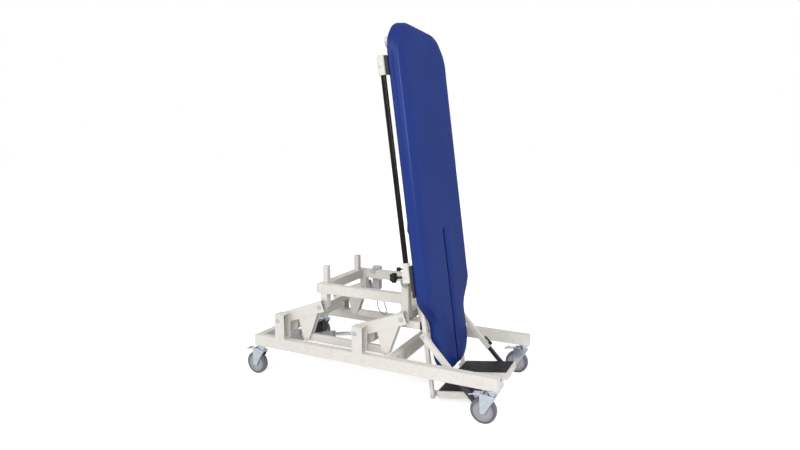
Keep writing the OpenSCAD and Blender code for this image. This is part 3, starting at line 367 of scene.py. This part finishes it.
def group_weave():
    """Faint rings of an extruded cable sheath."""
    tree, given, out = new_group("Cable sheath", [("Vector", "Vector", None)], [("Height", "Float")])
    fine = noise(tree, given["Vector"], 600.0, 3.0)
    slow = noise(tree, given["Vector"], 60.0, 2.0)
    join(tree, maths(tree, "MULTIPLY_ADD", slow, 0.6, fine), out["Height"])
    return tree


GROUPS = {"coated": group_coated, "rubbed": group_rubbed, "vinyl": group_vinyl_grain, "plated": group_plated,
          "ribs": group_ribs, "block": group_block, "rings": group_rings, "board": group_board, "sheath": group_weave}


def effect(tree, key, inputs):
    """Places a shared effect, building it the first time, and returns its outputs."""
    name = "tilt_table_" + key
    group = bpy.data.node_groups.get(name)
    if group is None:
        group = GROUPS[key]()
        group.name = name
    node = tree.nodes.new("ShaderNodeGroup")
    node.node_tree = group
    for title, value in inputs.items():
        if isinstance(value, bpy.types.NodeSocket):
            tree.links.new(value, node.inputs[title])
        else:
            node.inputs[title].default_value = tuple(value) + (1.0,) if title in ("Colour", "Shade", "Rub colour") \
                else value
    return node.outputs


def start_material(name, place=None, turn=0.0):
    """A new material, its tree, its Principled node and its pattern coordinates, set on a tilted frame if asked."""
    material = bpy.data.materials.new(name)
    material.use_nodes = True
    tree = material.node_tree
    shader = tree.nodes["Principled BSDF"]
    vector = tree.nodes.new("ShaderNodeTexCoord").outputs["Object"]
    if place is not None:
        vector = put(tree, "ShaderNodeMapping", {"Vector": vector, "Location": place, "Rotation": (0.0, turn, 0.0)},
                     vector_type="TEXTURE").outputs[0]
    return material, tree, shader, vector


def painted_groove_shade_mask(tree, vector):
    """A mask for painted shade: 1 in the groove between the legs, where the vinyl is darkened to stand in for the
    shade inside it, and 0 on the open cover.
    """
    along, across, up = put(tree, "ShaderNodeSeparateXYZ", {"Vector": vector}).outputs
    sunk = maths(tree, "MULTIPLY", maths(tree, "SUBTRACT", PAD_FRONT - 0.002, up), 90.0, clamp=True)
    inside = maths(tree, "SUBTRACT", GROOVE_HALF + 0.003, maths(tree, "ABSOLUTE", across))
    inside = maths(tree, "MULTIPLY", inside, 330.0, clamp=True)
    below = maths(tree, "MULTIPLY", maths(tree, "SUBTRACT", along, GROOVE_TOP - 0.004), 150.0, clamp=True)
    return maths(tree, "MULTIPLY", maths(tree, "MULTIPLY", sunk, inside), below)


def bump(tree, shader, height, strength, distance):
    node = put(tree, "ShaderNodeBump", {"Height": height, "Strength": strength, "Distance": distance})
    join(tree, node.outputs[0], shader.inputs["Normal"])


def coated_material(name, colour, shade, rough, spread_of_gloss, cloud_scale=6.0, cloud_share=0.5, grain_scale=700.0,
                    grain=0.15, depth=0.0004, rub=None, rub_amount=0.5, coat=0.0, shine=0.4):
    """Paint or moulded plastic with clouds, uneven gloss, fine grain and rubbed edges."""
    material, tree, shader, vector = start_material(name)
    made = effect(tree, "coated", {"Vector": vector, "Colour": colour, "Shade": shade, "Cloud scale": cloud_scale,
                                   "Cloud share": cloud_share, "Grain scale": grain_scale, "Roughness": rough,
                                   "Gloss spread": spread_of_gloss})
    tint = made["Colour"]
    if rub is not None:
        rubbed = effect(tree, "rubbed", {"Vector": vector, "Colour": tint, "Rub colour": rub, "Amount": rub_amount})
        tint = rubbed["Colour"]
    join(tree, tint, shader.inputs["Base Color"])
    join(tree, made["Roughness"], shader.inputs["Roughness"])
    shader.inputs["Specular IOR Level"].default_value = shine
    shader.inputs["Coat Weight"].default_value = coat
    shader.inputs["Coat Roughness"].default_value = 0.12
    bump(tree, shader, made["Height"], grain, depth)
    return material


def plated_material(name, colour, rough, patch_scale=90.0, metallic=0.9):
    material, tree, shader, vector = start_material(name)
    made = effect(tree, "plated", {"Vector": vector, "Colour": colour, "Patch scale": patch_scale,
                                   "Roughness": rough})
    join(tree, made["Colour"], shader.inputs["Base Color"])
    join(tree, made["Roughness"], shader.inputs["Roughness"])
    shader.inputs["Metallic"].default_value = metallic
    bump(tree, shader, made["Height"], 0.08, 0.0003)
    return material


def drive_material(name, colours, eye, turn, low, high):
    """Grey drive with a black gearbox, told apart by a box in the drive's own frame."""
    material, tree, shader, vector = start_material(name, eye, turn)
    inside = effect(tree, "block", {"Vector": vector, "Low": low, "High": high})["Mask"]
    grey = effect(tree, "coated", {"Vector": vector, "Colour": colours.housing, "Shade": linear(150, 151, 153),
                                   "Cloud scale": 9.0, "Cloud share": 0.5, "Grain scale": 900.0, "Roughness": 0.42,
                                   "Gloss spread": 0.1})
    tint = blend_colours(tree, inside, grey["Colour"], tuple(colours.black) + (1.0,))
    join(tree, tint, shader.inputs["Base Color"])
    join(tree, grey["Roughness"], shader.inputs["Roughness"])
    bump(tree, shader, grey["Height"], 0.15, 0.0004)
    return material


def wheel_material(name, colours, axle):
    """Grey disc with moulded rings inside a blue-grey tyre."""
    material, tree, shader, vector = start_material(name, axle)
    rings = effect(tree, "rings", {"Vector": vector})
    disc = effect(tree, "coated", {"Vector": vector, "Colour": colours.disc, "Shade": linear(138, 139, 143),
                                   "Cloud scale": 18.0, "Cloud share": 0.5, "Grain scale": 900.0, "Roughness": 0.45,
                                   "Gloss spread": 0.1})
    lined = blend_colours(tree, maths(tree, "MULTIPLY", rings["Line"], 0.75), disc["Colour"],
                          linear(70, 71, 76) + (1.0,))
    tint = blend_colours(tree, rings["Tyre"], lined, tuple(colours.tyre) + (1.0,))
    join(tree, tint, shader.inputs["Base Color"])
    join(tree, disc["Roughness"], shader.inputs["Roughness"])
    height = maths(tree, "MULTIPLY_ADD", disc["Height"], 0.1, rings["Height"])
    bump(tree, shader, height, 0.5, 0.0006)
    return material


def rubber_material(colours):
    """Dull black rubber, made once for all pieces that share it."""
    found = bpy.data.materials.get("black_rubber")
    return found or coated_material("black_rubber", colours.rubber, linear(40, 39, 41), 0.62, 0.14, cloud_scale=22.0,
                                    grain_scale=800.0, grain=0.3, shine=0.15)


# ---- Help for meshes ----

def select_only(obj):
    bpy.ops.object.select_all(action="DESELECT")
    obj.select_set(True)
    bpy.context.view_layer.objects.active = obj


def paint(names, material):
    """Puts one material on every slot of these CAD nodes."""
    for name in names:
        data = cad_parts[name].data
        if not data.materials:
            data.materials.append(material)
        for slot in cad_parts[name].material_slots:
            slot.material = material


def copy_of_node(node, name):
    """A merged copy of a CAD node's mesh, with its loose triangles joined and its flat faces made whole."""
    obj = bpy.data.objects.new(name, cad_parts[node].data.copy())
    bpy.context.scene.collection.objects.link(obj)
    select_only(obj)
    bpy.ops.object.mode_set(mode="EDIT")
    bpy.ops.mesh.select_all(action="SELECT")
    bpy.ops.mesh.remove_doubles(threshold=0.00002)
    bpy.ops.mesh.dissolve_limited(angle_limit=math.radians(0.6))
    bpy.ops.object.mode_set(mode="OBJECT")
    return obj


def apply_modifiers(obj):
    select_only(obj)
    for modifier in list(obj.modifiers):
        bpy.ops.object.modifier_apply(modifier=modifier.name)


def round_front(pad, mesh, radius, steps, in_groove):
    """Bevels the cushion's front edges, either those of its outline or those of the groove between the legs."""
    bpy.ops.mesh.select_all(action="DESELECT")
    for edge in mesh.edges:
        if len(edge.link_faces) != 2 or not all(v.co.z > PAD_FRONT - 0.0003 for v in edge.verts):
            continue
        groove = all(abs(v.co.y) < GROOVE_HALF + 0.0005 and v.co.x > GROOVE_TOP - 0.001 for v in edge.verts)
        if groove == in_groove and edge.calc_face_angle(0.0) > math.radians(40):
            edge.select_set(True)
    bmesh.update_edit_mesh(pad.data)
    bpy.ops.mesh.bevel(offset=radius, segments=steps, profile=0.5, affect="EDGES", clamp_overlap=False)


def coordinates(mesh):
    points = np.empty(len(mesh.vertices) * 3)
    mesh.vertices.foreach_get("co", points)
    return points.reshape(-1, 3)


def near_groove(points, margin):
    """Marks the points within a margin of the groove between the legs."""
    return (np.abs(points[:, 1]) < GROOVE_HALF + margin) & (points[:, 0] > GROOVE_TOP - margin)


def even_out(pad, steps):
    """Smooths the cover, and the groove only lightly so that it keeps its walls."""
    open_part = pad.vertex_groups.get("open") or pad.vertex_groups.new(name="open")
    points = coordinates(pad.data)
    open_part.add([int(i) for i in np.nonzero(~near_groove(points, GROOVE_KEPT))[0]], 1.0, "REPLACE")
    for group, count in (("open", steps), ("", 1)):
        smooth = pad.modifiers.new("Smooth", "SMOOTH")
        smooth.factor = 0.5
        smooth.iterations = count
        smooth.vertex_group = group
    apply_modifiers(pad)


def blow_up(obj, held_below, pressure, furthest):
    """Lets pressure push the cover out with its back held, no further than asked, and keeps the result."""
    start = coordinates(obj.data)
    held = obj.vertex_groups.new(name="held")
    fixed = (start[:, 2] < held_below) | near_groove(start, GROOVE_HELD)
    held.add([int(i) for i in np.nonzero(fixed)[0]], 1.0, "REPLACE")
    cloth = obj.modifiers.new("Cover", "CLOTH")
    settings = cloth.settings
    settings.quality = 4
    settings.mass = 0.3
    settings.tension_stiffness = 30.0
    settings.compression_stiffness = 30.0
    settings.shear_stiffness = 15.0
    settings.bending_stiffness = 2.0
    settings.vertex_group_mass = "held"
    settings.use_pressure = True
    settings.uniform_pressure_force = pressure
    settings.effector_weights.gravity = 0.0
    cloth.collision_settings.use_collision = False
    cloth.point_cache.frame_start = 1
    cloth.point_cache.frame_end = 20
    scene = bpy.context.scene
    for number in range(1, 21):
        scene.frame_set(number)
    evaluated = obj.evaluated_get(bpy.context.evaluated_depsgraph_get())
    moved = coordinates(evaluated.data) - start
    obj.modifiers.remove(cloth)
    scene.frame_set(1)
    length = np.linalg.norm(moved, axis=1, keepdims=True)
    share = np.where(length > 1e-9, furthest * np.tanh(length / furthest) / np.maximum(length, 1e-9), 0.0)
    obj.data.vertices.foreach_set("co", (start + moved * share).ravel())
    obj.data.update()


# ---- Operators ----

class TILT_TABLE_OT_camera(Operator):
    """Sets the camera at the viewing angle of the picture"""
    bl_idname = "tilt_table.camera"
    bl_label = "Camera"

    def execute(self, context):
        studio = context.scene.tilt_table_studio
        turn = (math.pi / 2 - studio.camera_down, 0.0, studio.camera_turn)
        bpy.ops.object.camera_add(location=studio.camera_place, rotation=turn)
        camera = context.object
        camera.name = "picture_camera"
        camera.data.sensor_width = 36.0
        camera.data.lens = studio.lens
        camera.data.clip_start = 0.05
        camera.data.clip_end = 200.0
        context.scene.camera = camera
        return {"FINISHED"}


class TILT_TABLE_OT_handset_cord(Operator):
    """Makes the cord that hangs from the handset and goes back to its clip"""
    bl_idname = "tilt_table.handset_cord"
    bl_label = "Handset cord"

    def execute(self, context):
        sizes = context.scene.tilt_table_sizes
        points = [Vector(((x / 1000.0) + FRAME_X, y / 1000.0, z / 1000.0)) for x, y, z in CORD_ROUTE]
        last = len(points) - 1
        path = []
        for i in range(last):
            before, here, there, after = points[max(i - 1, 0)], points[i], points[i + 1], points[min(i + 2, last)]
            for k in range(CORD_FILL):
                t = k / CORD_FILL
                bend = (2 * before - 5 * here + 4 * there - after) * t * t
                path.append(0.5 * (2 * here + (there - before) * t + bend
                                   + (3 * here - 3 * there + after - before) * t ** 3))
        path.append(points[last])
        curve = bpy.data.curves.new("handset_lead", "CURVE")
        curve.dimensions = "3D"
        spline = curve.splines.new("POLY")
        spline.points.add(len(path) - 1)
        for point, place in zip(spline.points, path):
            point.co = (*place, 1.0)
        spline.use_smooth = True
        curve.bevel_depth = sizes.cord_diameter / 2
        curve.bevel_resolution = 4
        curve.use_fill_caps = True
        cord = bpy.data.objects.new("handset_lead", curve)
        context.scene.collection.objects.link(cord)
        material, tree, shader, vector = start_material("cable_sheath")
        colour = context.scene.tilt_table_colours.cord
        made = effect(tree, "coated", {"Vector": vector, "Colour": colour, "Shade": linear(98, 98, 101),
                                       "Cloud scale": 30.0, "Cloud share": 0.7, "Grain scale": 600.0,
                                       "Roughness": 0.5, "Gloss spread": 0.12})
        join(tree, made["Colour"], shader.inputs["Base Color"])
        join(tree, made["Roughness"], shader.inputs["Roughness"])
        bump(tree, shader, effect(tree, "sheath", {"Vector": vector})["Height"], 0.2, 0.0003)
        curve.materials.append(material)
        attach(cord, "carriage")
        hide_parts("handset_cord")
        return {"FINISHED"}


class TILT_TABLE_OT_upholstery(Operator):
    """Makes the padded top: rounded front edges, a crowned front and the groove between the legs"""
    bl_idname = "tilt_table.upholstery"
    bl_label = "Upholstery"

    def execute(self, context):
        sizes = context.scene.tilt_table_sizes
        pad = copy_of_node("mattress", "upholstery")
        pad.data.transform(TABLE.inverted())
        bpy.ops.object.mode_set(mode="EDIT")
        mesh = bmesh.from_edit_mesh(pad.data)
        bpy.ops.mesh.select_mode(type="EDGE")
        round_front(pad, mesh, sizes.pad_round, sizes.pad_steps, in_groove=False)
        mesh = bmesh.from_edit_mesh(pad.data)
        round_front(pad, mesh, sizes.groove_round, 3, in_groove=True)
        bpy.ops.object.mode_set(mode="OBJECT")
        remesh = pad.modifiers.new("Voxels", "REMESH")
        remesh.mode = "VOXEL"
        remesh.voxel_size = sizes.voxel
        apply_modifiers(pad)
        even_out(pad, SMOOTH_BEFORE)
        blow_up(pad, PAD_FRONT - HELD_DEPTH, sizes.pressure, sizes.swell)
        even_out(pad, SMOOTH_AFTER)
        pad.data.transform(TABLE)
        pad.vertex_groups.clear()
        select_only(pad)
        bpy.ops.object.shade_smooth()

        colours = context.scene.tilt_table_colours
        material, tree, shader, vector = start_material("navy_vinyl", tuple(TILT_PIVOT), TABLE_LEAN)
        made = effect(tree, "coated", {"Vector": vector, "Colour": colours.vinyl, "Shade": colours.vinyl_shade,
                                       "Cloud scale": 3.5, "Cloud share": 0.7, "Grain scale": 900.0,
                                       "Roughness": 0.40, "Gloss spread": 0.10})
        grain = effect(tree, "vinyl", {"Vector": vector, "Pebble scale": 420.0, "Ripple scale": 7.0})
        crease = blend_colours(tree, maths(tree, "MULTIPLY", grain["Crease"], 0.22), made["Colour"],
                               linear(30, 38, 84) + (1.0,))
        # Painted shade: the vinyl turns deep navy at the groove floor, standing in for the shade inside the groove
        slot = painted_groove_shade_mask(tree, vector)
        groove_painted_shade = blend_colours(tree, maths(tree, "MULTIPLY", slot, 0.75), crease, linear(14, 20, 46) + (1.0,))
        join(tree, groove_painted_shade, shader.inputs["Base Color"])
        join(tree, made["Roughness"], shader.inputs["Roughness"])
        shader.inputs["Specular IOR Level"].default_value = 0.0
        shader.inputs["Coat Weight"].default_value = 0.11
        shader.inputs["Coat IOR"].default_value = 2.0
        shader.inputs["Coat Roughness"].default_value = 0.30
        bump(tree, shader, grain["Height"], 0.16, 0.0012)
        pad.data.materials.clear()
        pad.data.materials.append(material)
        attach(pad, "table")
        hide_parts("mattress")
        return {"FINISHED"}


class TILT_TABLE_OT_rail_strips(Operator):
    """Makes the four rubber strips between the side clamps and the upholstery, with rounded corners"""
    bl_idname = "tilt_table.rail_strips"
    bl_label = "Rail strips"

    def execute(self, context):
        made = []
        for low, high in STRIP_ENDS:
            bpy.ops.object.select_all(action="DESELECT")
            bpy.ops.mesh.primitive_cube_add(size=1.0)
            strip = context.object
            wide, deep = STRIP_OUT - STRIP_IN, STRIP_DEEP
            strip.data.transform(Matrix.Translation(((low + high) / 2, (STRIP_IN + STRIP_OUT) / 2,
                                                     PAD_BACK - STRIP_GAP - deep / 2))
                                 @ Matrix.Diagonal((high - low, wide, deep, 1.0)))
            bpy.ops.object.mode_set(mode="EDIT")
            mesh = bmesh.from_edit_mesh(strip.data)
            bpy.ops.mesh.select_all(action="DESELECT")
            for edge in mesh.edges:
                first, second = (v.co for v in edge.verts)
                if abs(first.z - second.z) > deep / 2:
                    edge.select_set(True)
            bmesh.update_edit_mesh(strip.data)
            bpy.ops.mesh.bevel(offset=STRIP_CORNER, segments=4, affect="EDGES")
            bpy.ops.object.mode_set(mode="OBJECT")
            round_edge = strip.modifiers.new("Edge", "BEVEL")
            round_edge.width = STRIP_EDGE
            round_edge.segments = 2
            apply_modifiers(strip)
            made.append(strip)
            twin = bpy.data.objects.new("strip_twin", strip.data.copy())
            context.scene.collection.objects.link(twin)
            twin.data.transform(Matrix.Diagonal((1.0, -1.0, 1.0, 1.0)))
            twin.data.flip_normals()
            made.append(twin)
        bpy.ops.object.select_all(action="DESELECT")
        for piece in made:
            piece.select_set(True)
        context.view_layer.objects.active = made[0]
        bpy.ops.object.join()
        strips = context.object
        strips.name = "side_strips"
        strips.data.transform(TABLE)
        select_only(strips)
        bpy.ops.object.shade_smooth_by_angle(angle=math.radians(35))
        strips.data.materials.clear()
        strips.data.materials.append(rubber_material(context.scene.tilt_table_colours))
        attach(strips, "table")
        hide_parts("rail_strips")
        return {"FINISHED"}


class TILT_TABLE_OT_painted_steel(Operator):
    """Gives the frame its ivory powder coat"""
    bl_idname = "tilt_table.painted_steel"
    bl_label = "Painted steel"

    def execute(self, context):
        colours = context.scene.tilt_table_colours
        paint(PAINTED, coated_material("ivory_powder_coat", colours.paint, colours.paint_shade, 0.38, 0.12,
                                       cloud_scale=2.2, cloud_share=0.25, grain_scale=850.0, grain=0.12,
                                       rub=linear(196, 190, 180), rub_amount=0.6))
        paint(["handrails"], coated_material("black_gloss_coat", colours.rail, linear(34, 34, 37), 0.22, 0.14,
                                             cloud_scale=12.0, grain_scale=500.0, grain=0.10,
                                             rub=linear(56, 56, 58), rub_amount=0.4, shine=0.12))
        return {"FINISHED"}


class TILT_TABLE_OT_bright_metal(Operator):
    """Gives casters, pedals, bolts and rods their plated or dark steel"""
    bl_idname = "tilt_table.bright_metal"
    bl_label = "Bright metal"

    def execute(self, context):
        colours = context.scene.tilt_table_colours
        zinc = plated_material("zinc_plate", colours.zinc, 0.30)
        paint(["fork_" + c for c in CASTERS] + BOLTS, zinc)
        paint(["pedal_" + c for c in CASTERS],
              plated_material("bright_chrome", linear(198, 204, 212), 0.18, 160.0, 1.0))
        paint(["lift_rod", "tilt_rod"], plated_material("drawn_steel", linear(190, 192, 196), 0.26, 120.0, 1.0))
        paint(["strut_rod_near", "strut_rod_far"],
              plated_material("dark_rod_steel", colours.dark_steel, 0.36, 120.0, 0.7))
        return {"FINISHED"}


class TILT_TABLE_OT_plastics(Operator):
    """Gives knobs, rockers, handset, bumpers and pivot discs their moulded plastic"""
    bl_idname = "tilt_table.plastics"
    bl_label = "Moulded plastic"

    def execute(self, context):
        colours = context.scene.tilt_table_colours
        paint(BLACK_PLASTIC, coated_material("black_moulding", colours.black, linear(38, 38, 41), 0.38, 0.12,
                                             cloud_scale=20.0, grain_scale=1100.0, grain=0.25,
                                             rub=linear(64, 64, 68), rub_amount=0.5, shine=0.2))
        paint(["handset"], coated_material("grey_moulding", linear(196, 197, 198), linear(182, 183, 185), 0.45, 0.10,
                                           cloud_scale=16.0, grain_scale=1200.0, grain=0.25,
                                           rub=linear(190, 190, 190), rub_amount=0.4))
        paint(["tilt_pivot_pins"], coated_material("pivot_disc_grey", linear(178, 178, 178), linear(158, 158, 160),
                                                   0.36, 0.10, cloud_scale=14.0, grain_scale=900.0))
        paint(["head_bumpers"], coated_material("pale_bumper", colours.pale, linear(186, 192, 198), 0.30, 0.10,
                                                cloud_scale=14.0, grain_scale=700.0, coat=0.2))
        return {"FINISHED"}


class TILT_TABLE_OT_rubber(Operator):
    """Gives treads and buffers their rubber"""
    bl_idname = "tilt_table.rubber"
    bl_label = "Rubber"

    def execute(self, context):
        colours = context.scene.tilt_table_colours
        paint(RUBBER, rubber_material(colours))
        material, tree, shader, vector = start_material("ribbed_tread", tuple(TILT_PIVOT), TABLE_LEAN)
        made = effect(tree, "coated", {"Vector": vector, "Colour": colours.rubber, "Shade": linear(24, 23, 25),
                                       "Cloud scale": 12.0, "Cloud share": 0.6, "Grain scale": 900.0,
                                       "Roughness": 0.52, "Gloss spread": 0.16})
        ribs = effect(tree, "ribs", {"Vector": vector, "Rib scale": 60.0})
        tint = blend_colours(tree, maths(tree, "MULTIPLY", ribs["Wear"], 0.35), made["Colour"],
                             linear(92, 90, 90) + (1.0,))
        join(tree, tint, shader.inputs["Base Color"])
        join(tree, made["Roughness"], shader.inputs["Roughness"])
        shader.inputs["Specular IOR Level"].default_value = 0.15
        bump(tree, shader, ribs["Height"], 0.4, 0.0006)
        paint(TREADS, material)
        return {"FINISHED"}


class TILT_TABLE_OT_wheels(Operator):
    """Gives each wheel its grey disc and blue-grey tyre"""
    bl_idname = "tilt_table.wheels"
    bl_label = "Wheels"

    def execute(self, context):
        colours = context.scene.tilt_table_colours
        for caster in CASTERS:
            end, side = caster.split("_")
            axle = (AXLE_X[end], WHEEL_Y[side], AXLE_Z)
            paint(["wheel_" + caster], wheel_material("wheel_" + caster + "_finish", colours, axle))
        return {"FINISHED"}


class TILT_TABLE_OT_board(Operator):
    """Gives the board behind the upholstery its brown facing and ply edge"""
    bl_idname = "tilt_table.board"
    bl_label = "Board"

    def execute(self, context):
        colours = context.scene.tilt_table_colours
        material, tree, shader, vector = start_material("faced_board", tuple(TILT_PIVOT), TABLE_LEAN)
        made = effect(tree, "board", {"Vector": vector, "Colour": colours.board})
        coat = effect(tree, "coated", {"Vector": vector, "Colour": made["Colour"], "Shade": made["Colour"],
                                       "Cloud scale": 5.0, "Cloud share": 0.0, "Grain scale": 700.0,
                                       "Roughness": 0.55, "Gloss spread": 0.12})
        join(tree, made["Colour"], shader.inputs["Base Color"])
        join(tree, coat["Roughness"], shader.inputs["Roughness"])
        bump(tree, shader, made["Height"], 0.2, 0.0006)
        paint(["table_board"], material)
        return {"FINISHED"}


class TILT_TABLE_OT_drives(Operator):
    """Gives both drives their grey housing and black gearbox"""
    bl_idname = "tilt_table.drives"
    bl_label = "Drives"

    def execute(self, context):
        colours = context.scene.tilt_table_colours
        paint(["lift_housing"], drive_material("lift_drive_finish", colours, LIFT_EYE, LIFT_TURN,
                                               (0.208, -0.06, 0.0200), (0.300, 0.06, 0.12)))
        paint(["tilt_housing"], drive_material("tilt_drive_finish", colours, TILT_EYE, TILT_TURN,
                                               (0.136, -0.06, -0.09), (0.225, 0.06, -0.0200)))
        return {"FINISHED"}


class TILT_TABLE_OT_edges(Operator):
    """Rounds the edges of the steel and plastic pieces"""
    bl_idname = "tilt_table.edges"
    bl_label = "Rounded edges"

    def execute(self, context):
        width = context.scene.tilt_table_sizes.edge
        for name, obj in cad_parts.items():
            if name in NOT_ROUNDED:
                continue
            weld = obj.modifiers.new("Weld", "WELD")
            weld.merge_threshold = 0.00002
            flat = obj.modifiers.new("Flat faces", "DECIMATE")
            flat.decimate_type = "DISSOLVE"
            flat.angle_limit = math.radians(0.5)
            edge = obj.modifiers.new("Edge round", "BEVEL")
            edge.width = width * (FINE_EDGE if name.startswith(FINE) else 1.0)
            edge.segments = 2
            edge.limit_method = "ANGLE"
            edge.angle_limit = math.radians(35)
            edge.use_clamp_overlap = False
            if not name.startswith(FINE):
                edge.miter_outer = "MITER_ARC"
            even = obj.modifiers.new("Even shading", "WEIGHTED_NORMAL")
            even.keep_sharp = False
            even.weight = 80
        return {"FINISHED"}


class TILT_TABLE_OT_stage(Operator):
    """Builds the pale floor, the white surround and the soft lights"""
    bl_idname = "tilt_table.stage"
    bl_label = "Stage"

    def execute(self, context):
        studio = context.scene.tilt_table_studio
        bpy.ops.object.select_all(action="DESELECT")
        bpy.ops.mesh.primitive_plane_add(size=80.0, location=(0.0, 0.0, -0.0005))
        floor = context.object
        floor.name = "floor"
        material = bpy.data.materials.new("pale_floor")
        material.use_nodes = True
        tree = material.node_tree
        shader = tree.nodes["Principled BSDF"]
        shader.inputs["Base Color"].default_value = (0.86, 0.86, 0.86, 1.0)
        shader.inputs["Roughness"].default_value = 0.9
        shader.inputs["Specular IOR Level"].default_value = 0.0
        rays = put(tree, "ShaderNodeLightPath").outputs
        seen = maths(tree, "MAXIMUM", rays["Is Camera Ray"], rays["Is Glossy Ray"])
        shader.inputs["Emission Color"].default_value = (1.0, 1.0, 1.0, 1.0)
        join(tree, maths(tree, "MULTIPLY", seen, 0.6), shader.inputs["Emission Strength"])
        floor.data.materials.append(material)

        world = context.scene.world or bpy.data.worlds.new("studio")
        context.scene.world = world
        world.use_nodes = True
        tree = world.node_tree
        tree.nodes.clear()
        rays = put(tree, "ShaderNodeLightPath").outputs
        seen = maths(tree, "MAXIMUM", maths(tree, "MAXIMUM", rays["Is Camera Ray"], rays["Is Glossy Ray"]),
                     rays["Is Transmission Ray"])
        strength = maths(tree, "MULTIPLY_ADD", seen, 1.0 - studio.sky, studio.sky)
        back = put(tree, "ShaderNodeBackground", {"Color": (1.0, 1.0, 1.0, 1.0), "Strength": strength})
        out = put(tree, "ShaderNodeOutputWorld")
        join(tree, back.outputs[0], out.inputs["Surface"])

        def soft_sun(name, place, aim, strength):
            bpy.ops.object.light_add(type="SUN", location=place)
            lamp = context.object
            lamp.name = name
            lamp.data.energy = strength
            lamp.data.angle = math.radians(35)
            lamp.rotation_euler = Vector(aim).to_track_quat("-Z", "Y").to_euler()

        soft_sun("key_sun", (-2.0, -4.0, 4.0), (0.42, 0.72, -0.62), studio.sun)
        soft_sun("fill_sun", (1.5, -4.5, 3.0), (-0.22, 0.85, -0.42), studio.fill)

        def soft_box(name, place, aim, size, power):
            bpy.ops.object.light_add(type="AREA", location=place)
            lamp = context.object
            lamp.name = name
            lamp.data.shape = "RECTANGLE"
            lamp.data.size, lamp.data.size_y = size
            lamp.data.energy = power
            lamp.rotation_euler = (Vector(aim) - Vector(place)).to_track_quat("-Z", "Y").to_euler()

        soft_box("right_box", (2.5, -1.25, 2.3), (0.2, -0.1, 1.7), (0.4, 1.8), studio.box_power)
        return {"FINISHED"}


STEPS = [TILT_TABLE_OT_camera, TILT_TABLE_OT_handset_cord, TILT_TABLE_OT_upholstery, TILT_TABLE_OT_rail_strips,
         TILT_TABLE_OT_painted_steel,
         TILT_TABLE_OT_bright_metal, TILT_TABLE_OT_plastics, TILT_TABLE_OT_rubber, TILT_TABLE_OT_wheels,
         TILT_TABLE_OT_board, TILT_TABLE_OT_drives, TILT_TABLE_OT_edges, TILT_TABLE_OT_stage]


class TILT_TABLE_PT_panel(Panel):
    """Lists the table's sizes, colours and making steps"""
    bl_idname = "TILT_TABLE_PT_panel"
    bl_label = "Tilt table"
    bl_space_type = "VIEW_3D"
    bl_region_type = "UI"
    bl_category = "Tilt table"

    def draw(self, context):
        scene = context.scene
        for title, group in (("Sizes", scene.tilt_table_sizes), ("Colours", scene.tilt_table_colours),
                             ("Studio", scene.tilt_table_studio)):
            box = self.layout.box()
            box.label(text=title)
            for name in group.__annotations__:
                box.prop(group, name)
        steps = self.layout.box()
        steps.label(text="Make")
        for step in STEPS:
            steps.operator(step.bl_idname)


CLASSES = [TiltTableColours, TiltTableSizes, TiltTableStudio, *STEPS, TILT_TABLE_PT_panel]


def register():
    for item in CLASSES:
        bpy.utils.register_class(item)
    bpy.types.Scene.tilt_table_colours = PointerProperty(type=TiltTableColours)
    bpy.types.Scene.tilt_table_sizes = PointerProperty(type=TiltTableSizes)
    bpy.types.Scene.tilt_table_studio = PointerProperty(type=TiltTableStudio)


def unregister():
    del bpy.types.Scene.tilt_table_studio
    del bpy.types.Scene.tilt_table_sizes
    del bpy.types.Scene.tilt_table_colours
    for item in reversed(CLASSES):
        bpy.utils.unregister_class(item)


def main():
    register()
    bpy.context.scene.view_settings.view_transform = "Standard"
    for step in STEPS:
        group, name = step.bl_idname.split(".")
        getattr(getattr(bpy.ops, group), name)()
    bpy.context.view_layer.update()


if __name__ == "__main__":
    main()
